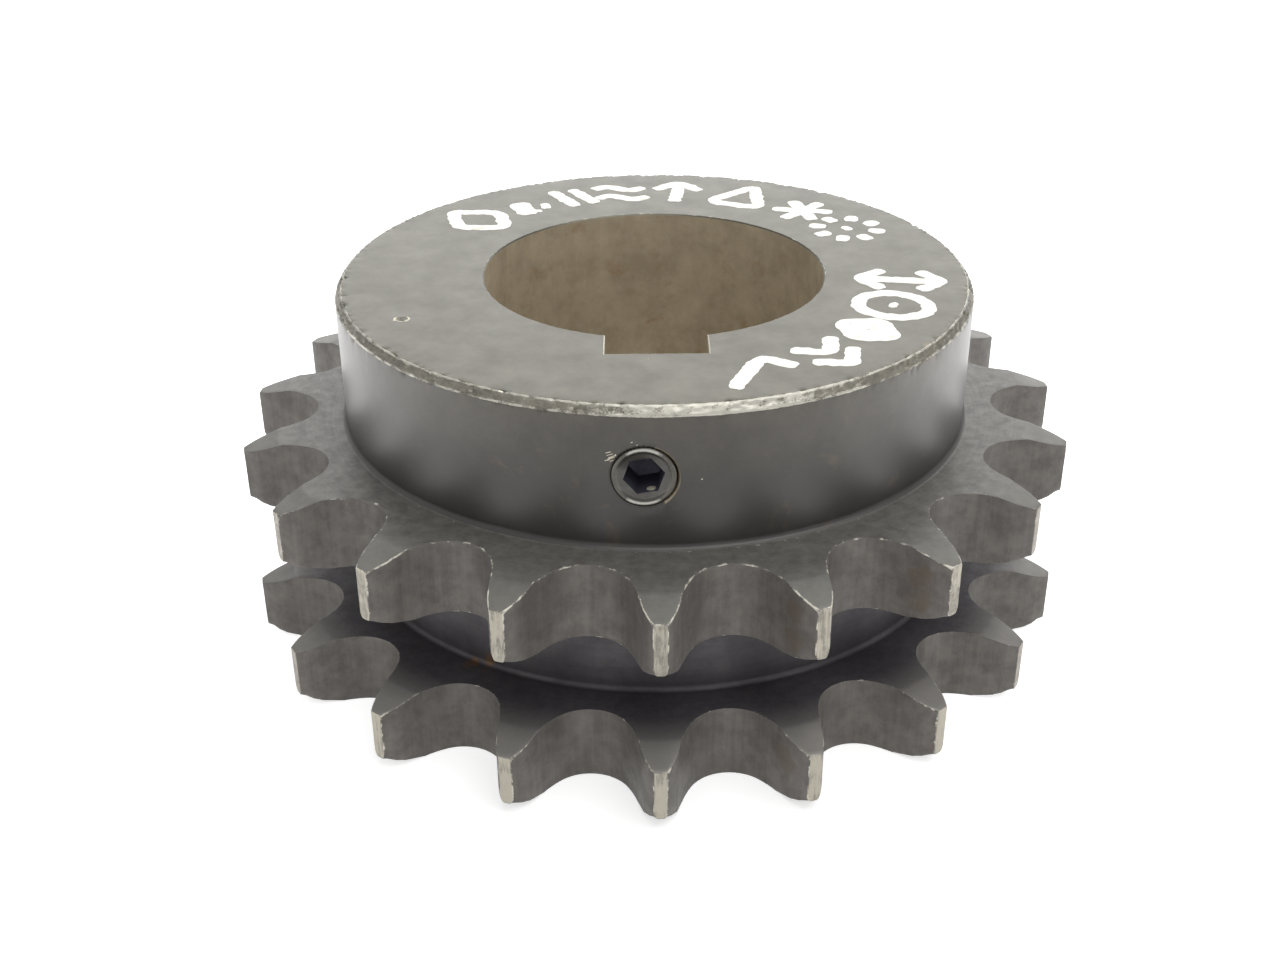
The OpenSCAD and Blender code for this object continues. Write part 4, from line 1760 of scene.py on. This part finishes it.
class SetScrew:
    """A cup-point socket set screw with its thread, chamfers and hexagon socket."""

    columns = 48
    rows_per_turn = 8
    face_r = 3.5
    cup_r = 2.4
    cup_depth = 1.1
    socket_cone = 1.2
    crown = 0.32
    ridge = 0.35
    # Share of bright colour along the ridge's crest, and the band's height: a painted highlight, strongest at
    # the top and bottom
    rub_and_highlight = 0.98
    highlight_band = 0.05
    dish_edge = 0.2
    dish_slope = 0.25
    socket_rim = 0.5
    step_w = 0.12
    step_drop = 0.04
    cup_rim = 0.25
    play = 0.015
    thread_depth = 0.55

    def __init__(self, sizes: Sizes, name: str, node: str, place: Matrix) -> None:
        """Takes the sizes, the names of the piece and its CAD node, and the frame of its axis."""
        self.sizes = sizes
        self.name = name
        self.node = node
        self.place = place
        self.outer_r = sizes.engaged_r - self.play

    def hexagon(self, turn: float) -> float:
        """Returns the socket's half width at a turn about the screw's axis, in radians."""
        side = math.pi / 3
        off_flat = (turn - math.radians(self.sizes.socket_turn)) % side - side / 2
        return self.sizes.socket_af / 2 / math.cos(off_flat)

    def dish(self, radius: float) -> float:
        """Returns the height of the dished end face at a radius inside its rim."""
        return self.dish_edge - self.dish_slope * (self.face_r - radius)

    def zone_at(self, spot: Vector) -> ScrewZone:
        """Says which surface a point in the screw's own frame belongs to."""
        radius = radius_of(spot)
        if radius < self.sizes.socket_af * 0.6 and -self.sizes.screw_l / 2 < spot.z < -0.3:
            return ScrewZone.SOCKET
        if radius < self.face_r and spot.z > -1:
            return ScrewZone.FACE
        if spot.z > -2 * self.crown:
            return ScrewZone.CHAMFER
        return ScrewZone.THREAD

    def build(self) -> bpy.types.Object:
        """Builds the screw.

        Returns:
            The finished object, in metres.
        """
        sizes = self.sizes
        half_af = sizes.socket_af / 2
        floor, end = -sizes.socket_depth, -sizes.screw_l
        chamfer = self.outer_r - self.face_r
        point_chamfer = self.outer_r - self.cup_r
        shank = sizes.screw_l - chamfer - point_chamfer
        mesh = bmesh.new()
        wear_and_highlight = mesh.verts.layers.float.new(WEAR_AND_HIGHLIGHT)

        def spot(radius: float, z: float) -> Vector:
            """Returns a point of the half section."""
            return Vector((radius, 0, z))

        section = Chain(mesh, spot(0, floor - self.socket_cone))
        socket_top = self.dish(half_af)
        section.line(spot(half_af, floor), 2).line(spot(half_af, socket_top), 5)
        section.line(spot(half_af + self.socket_rim, self.dish(half_af + self.socket_rim)))
        section.line(spot(self.face_r, self.dish(self.face_r)), 2)
        section.line(spot(self.face_r + self.step_w, self.ridge - self.step_drop))
        section.line(spot(self.outer_r - self.crown, self.ridge))
        section.arc(spot(self.outer_r - self.crown, self.ridge - self.crown), Y_AXIS, math.pi / 2, 6)
        section.line(spot(self.outer_r, -chamfer))
        rows = round(shank / sizes.thread_pitch * self.rows_per_turn)
        section.line(spot(self.outer_r, -chamfer - shank), rows)
        section.line(spot(self.cup_r, end), 6).line(spot(self.cup_r - self.cup_rim, end))
        section.line(spot(0, end + self.cup_depth), 2)
        start = Matrix.Rotation(math.radians(sizes.socket_turn), 3, "Z")
        bmesh.ops.rotate(mesh, verts=mesh.verts, cent=ORIGIN, matrix=start)
        bmesh.ops.spin(mesh, geom=mesh.verts[:] + mesh.edges[:], cent=ORIGIN, axis=Z_AXIS,
                       angle=math.tau, steps=self.columns, use_merge=True)
        weld(mesh)
        bmesh.ops.recalc_face_normals(mesh, faces=mesh.faces)
        root_r = self.outer_r - self.thread_depth
        thread = Thread(root_r=root_r, crest_r=self.outer_r, lead=sizes.thread_pitch)
        for vert in mesh.verts:
            radius = radius_of(vert.co)
            turn = math.atan2(vert.co.y, vert.co.x)
            # Paints a highlight along the ridge's crest, strongest at the top and bottom of the screw
            if vert.co.z > self.ridge - self.highlight_band:
                vert[wear_and_highlight] = self.rub_and_highlight * abs(vert.co.y) / radius
            if radius < half_af + 0.1 and floor - MERGE < vert.co.z < socket_top + MERGE and radius > 1:
                new = self.hexagon(turn)
                if vert.co.z > socket_top - MERGE:
                    vert.co.z = self.dish(new)
            elif radius > self.cup_r + 0.2 and vert.co.z < -chamfer:
                cut = smooth_step(-chamfer, -chamfer - sizes.thread_pitch, vert.co.z)
                new = min(radius, self.outer_r + (thread.radius(turn, vert.co.z) - self.outer_r) * cut)
            else:
                continue
            vert.co.x *= new / radius
            vert.co.y *= new / radius
        sink = Matrix.Translation((0, 0, sizes.hub_r - sizes.screw_sink))
        bmesh.ops.transform(mesh, matrix=Matrix.Scale(METRES, 4) @ self.place @ sink, verts=mesh.verts)
        screw = as_object(mesh, self.name)
        into_screw = (self.place @ sink).inverted()
        for polygon in screw.data.polygons:
            polygon.use_smooth = True
            polygon.material_index = self.zone_at(into_screw @ (polygon.center / METRES)).value
        hard_edges(screw)
        for finish in SCREW_FINISHES.values():
            screw.data.materials.append(finish.material())
        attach(screw, "root")
        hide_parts(self.node)
        return screw


class Studio:
    """The pale floor, the soft lights and the camera of the photograph."""

    frame_px = 1280
    focal_px = 1584.7
    sensor_mm = 36.0
    distance_mm = 239.57
    elevation = 20.967
    azimuth = 0.714
    pan = 0.518
    tilt = -7.565
    roll = 0.169
    floor_r = 4.0
    floor_sides = 96
    world_strength = 0.62
    lamps = (
        ("overhead_lamp", Vector((0.3, -0.25, 1.1)), 1.0, 6),
        ("back_lamp", Vector((0.1, 1.3, 0.62)), 1.6, 12),
    )

    def __init__(self, sizes: Sizes) -> None:
        """Takes the sprocket's sizes, which give the point that the camera looks at."""
        self.sizes = sizes

    def camera(self) -> bpy.types.Object:
        """Sets up the camera, turned from the hub face's middle to the middle of the photograph."""
        data = bpy.data.cameras.new("photo_camera")
        data.sensor_width = self.sensor_mm
        data.lens = self.sensor_mm * self.focal_px / self.frame_px
        data.clip_start = 0.01
        camera = bpy.data.objects.new("photo_camera", data)
        bpy.context.scene.collection.objects.link(camera)
        radians = math.radians
        camera.matrix_world = (
            Matrix.Translation((0, 0, self.sizes.body_h * METRES))
            @ Matrix.Rotation(-radians(self.azimuth), 4, "Z")
            @ Matrix.Rotation(radians(90 - self.elevation), 4, "X")
            @ Matrix.Translation((0, 0, self.distance_mm * METRES))
            @ Matrix.Rotation(radians(self.pan), 4, "Y")
            @ Matrix.Rotation(radians(self.tilt), 4, "X")
            @ Matrix.Rotation(-radians(self.roll), 4, "Z")
        )
        bpy.context.scene.camera = camera
        return camera

    def floor(self) -> bpy.types.Object:
        """Lays the round floor that the sprocket stands on."""
        mesh = bmesh.new()
        bmesh.ops.create_circle(mesh, cap_ends=True, segments=self.floor_sides, radius=self.floor_r)
        floor = as_object(mesh, "studio_floor")
        floor.data.materials.append(FLOOR.material())
        return floor

    def lamp(self, name: str, place: Vector, size: float, watts: float) -> bpy.types.Object:
        """Hangs one soft square lamp that faces the sprocket.

        Args:
            name: The lamp's name.
            place: Where it hangs, in metres.
            size: Its side, in metres.
            watts: Its power.

        Returns:
            The lamp.
        """
        data = bpy.data.lights.new(name, "AREA")
        data.size = size
        data.energy = watts
        lamp = bpy.data.objects.new(name, data)
        bpy.context.scene.collection.objects.link(lamp)
        lamp.location = place
        lamp.rotation_euler = (-place).to_track_quat("-Z", "Y").to_euler()
        return lamp

    def world(self) -> None:
        """Surrounds the scene with even white light."""
        world = bpy.data.worlds.new("studio")
        world.use_nodes = True
        background = world.node_tree.nodes["Background"]
        background.inputs["Color"].default_value = linear("#FFFFFF")
        background.inputs["Strength"].default_value = self.world_strength
        bpy.context.scene.world = world

    def build(self) -> None:
        """Builds the whole studio."""
        self.camera()
        self.floor()
        self.world()
        for name, place, size, watts in self.lamps:
            self.lamp(name, place, size, watts)
        bpy.context.scene.view_settings.view_transform = "Standard"


def main() -> None:
    """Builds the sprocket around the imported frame."""
    logging.basicConfig(level=logging.INFO, format="%(message)s")
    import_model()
    sizes = Sizes()
    sprocket = SprocketBody(sizes)
    pieces = [sprocket.build()]
    names = (("key_screw", "key_set_screw"), ("side_screw", "side_set_screw"))
    for (name, node), turn in zip(names, sizes.screw_turns):
        pieces.append(SetScrew(sizes, name, node, sprocket.screw_place(turn)).build())
    pieces.append(PaintMarks(sizes).build())
    key_screw = sprocket.screw_place(sizes.screw_turns[0])
    pieces.append(BrightNicksAndGlint(sizes, key_screw, sprocket.punch_middle()).build())
    for piece in pieces:
        triangles = sum(len(polygon.vertices) - 2 for polygon in piece.data.polygons)
        LOG.info("%s: %d triangles", piece.name, triangles)
    Studio(sizes).build()


if __name__ == "__main__":
    main()
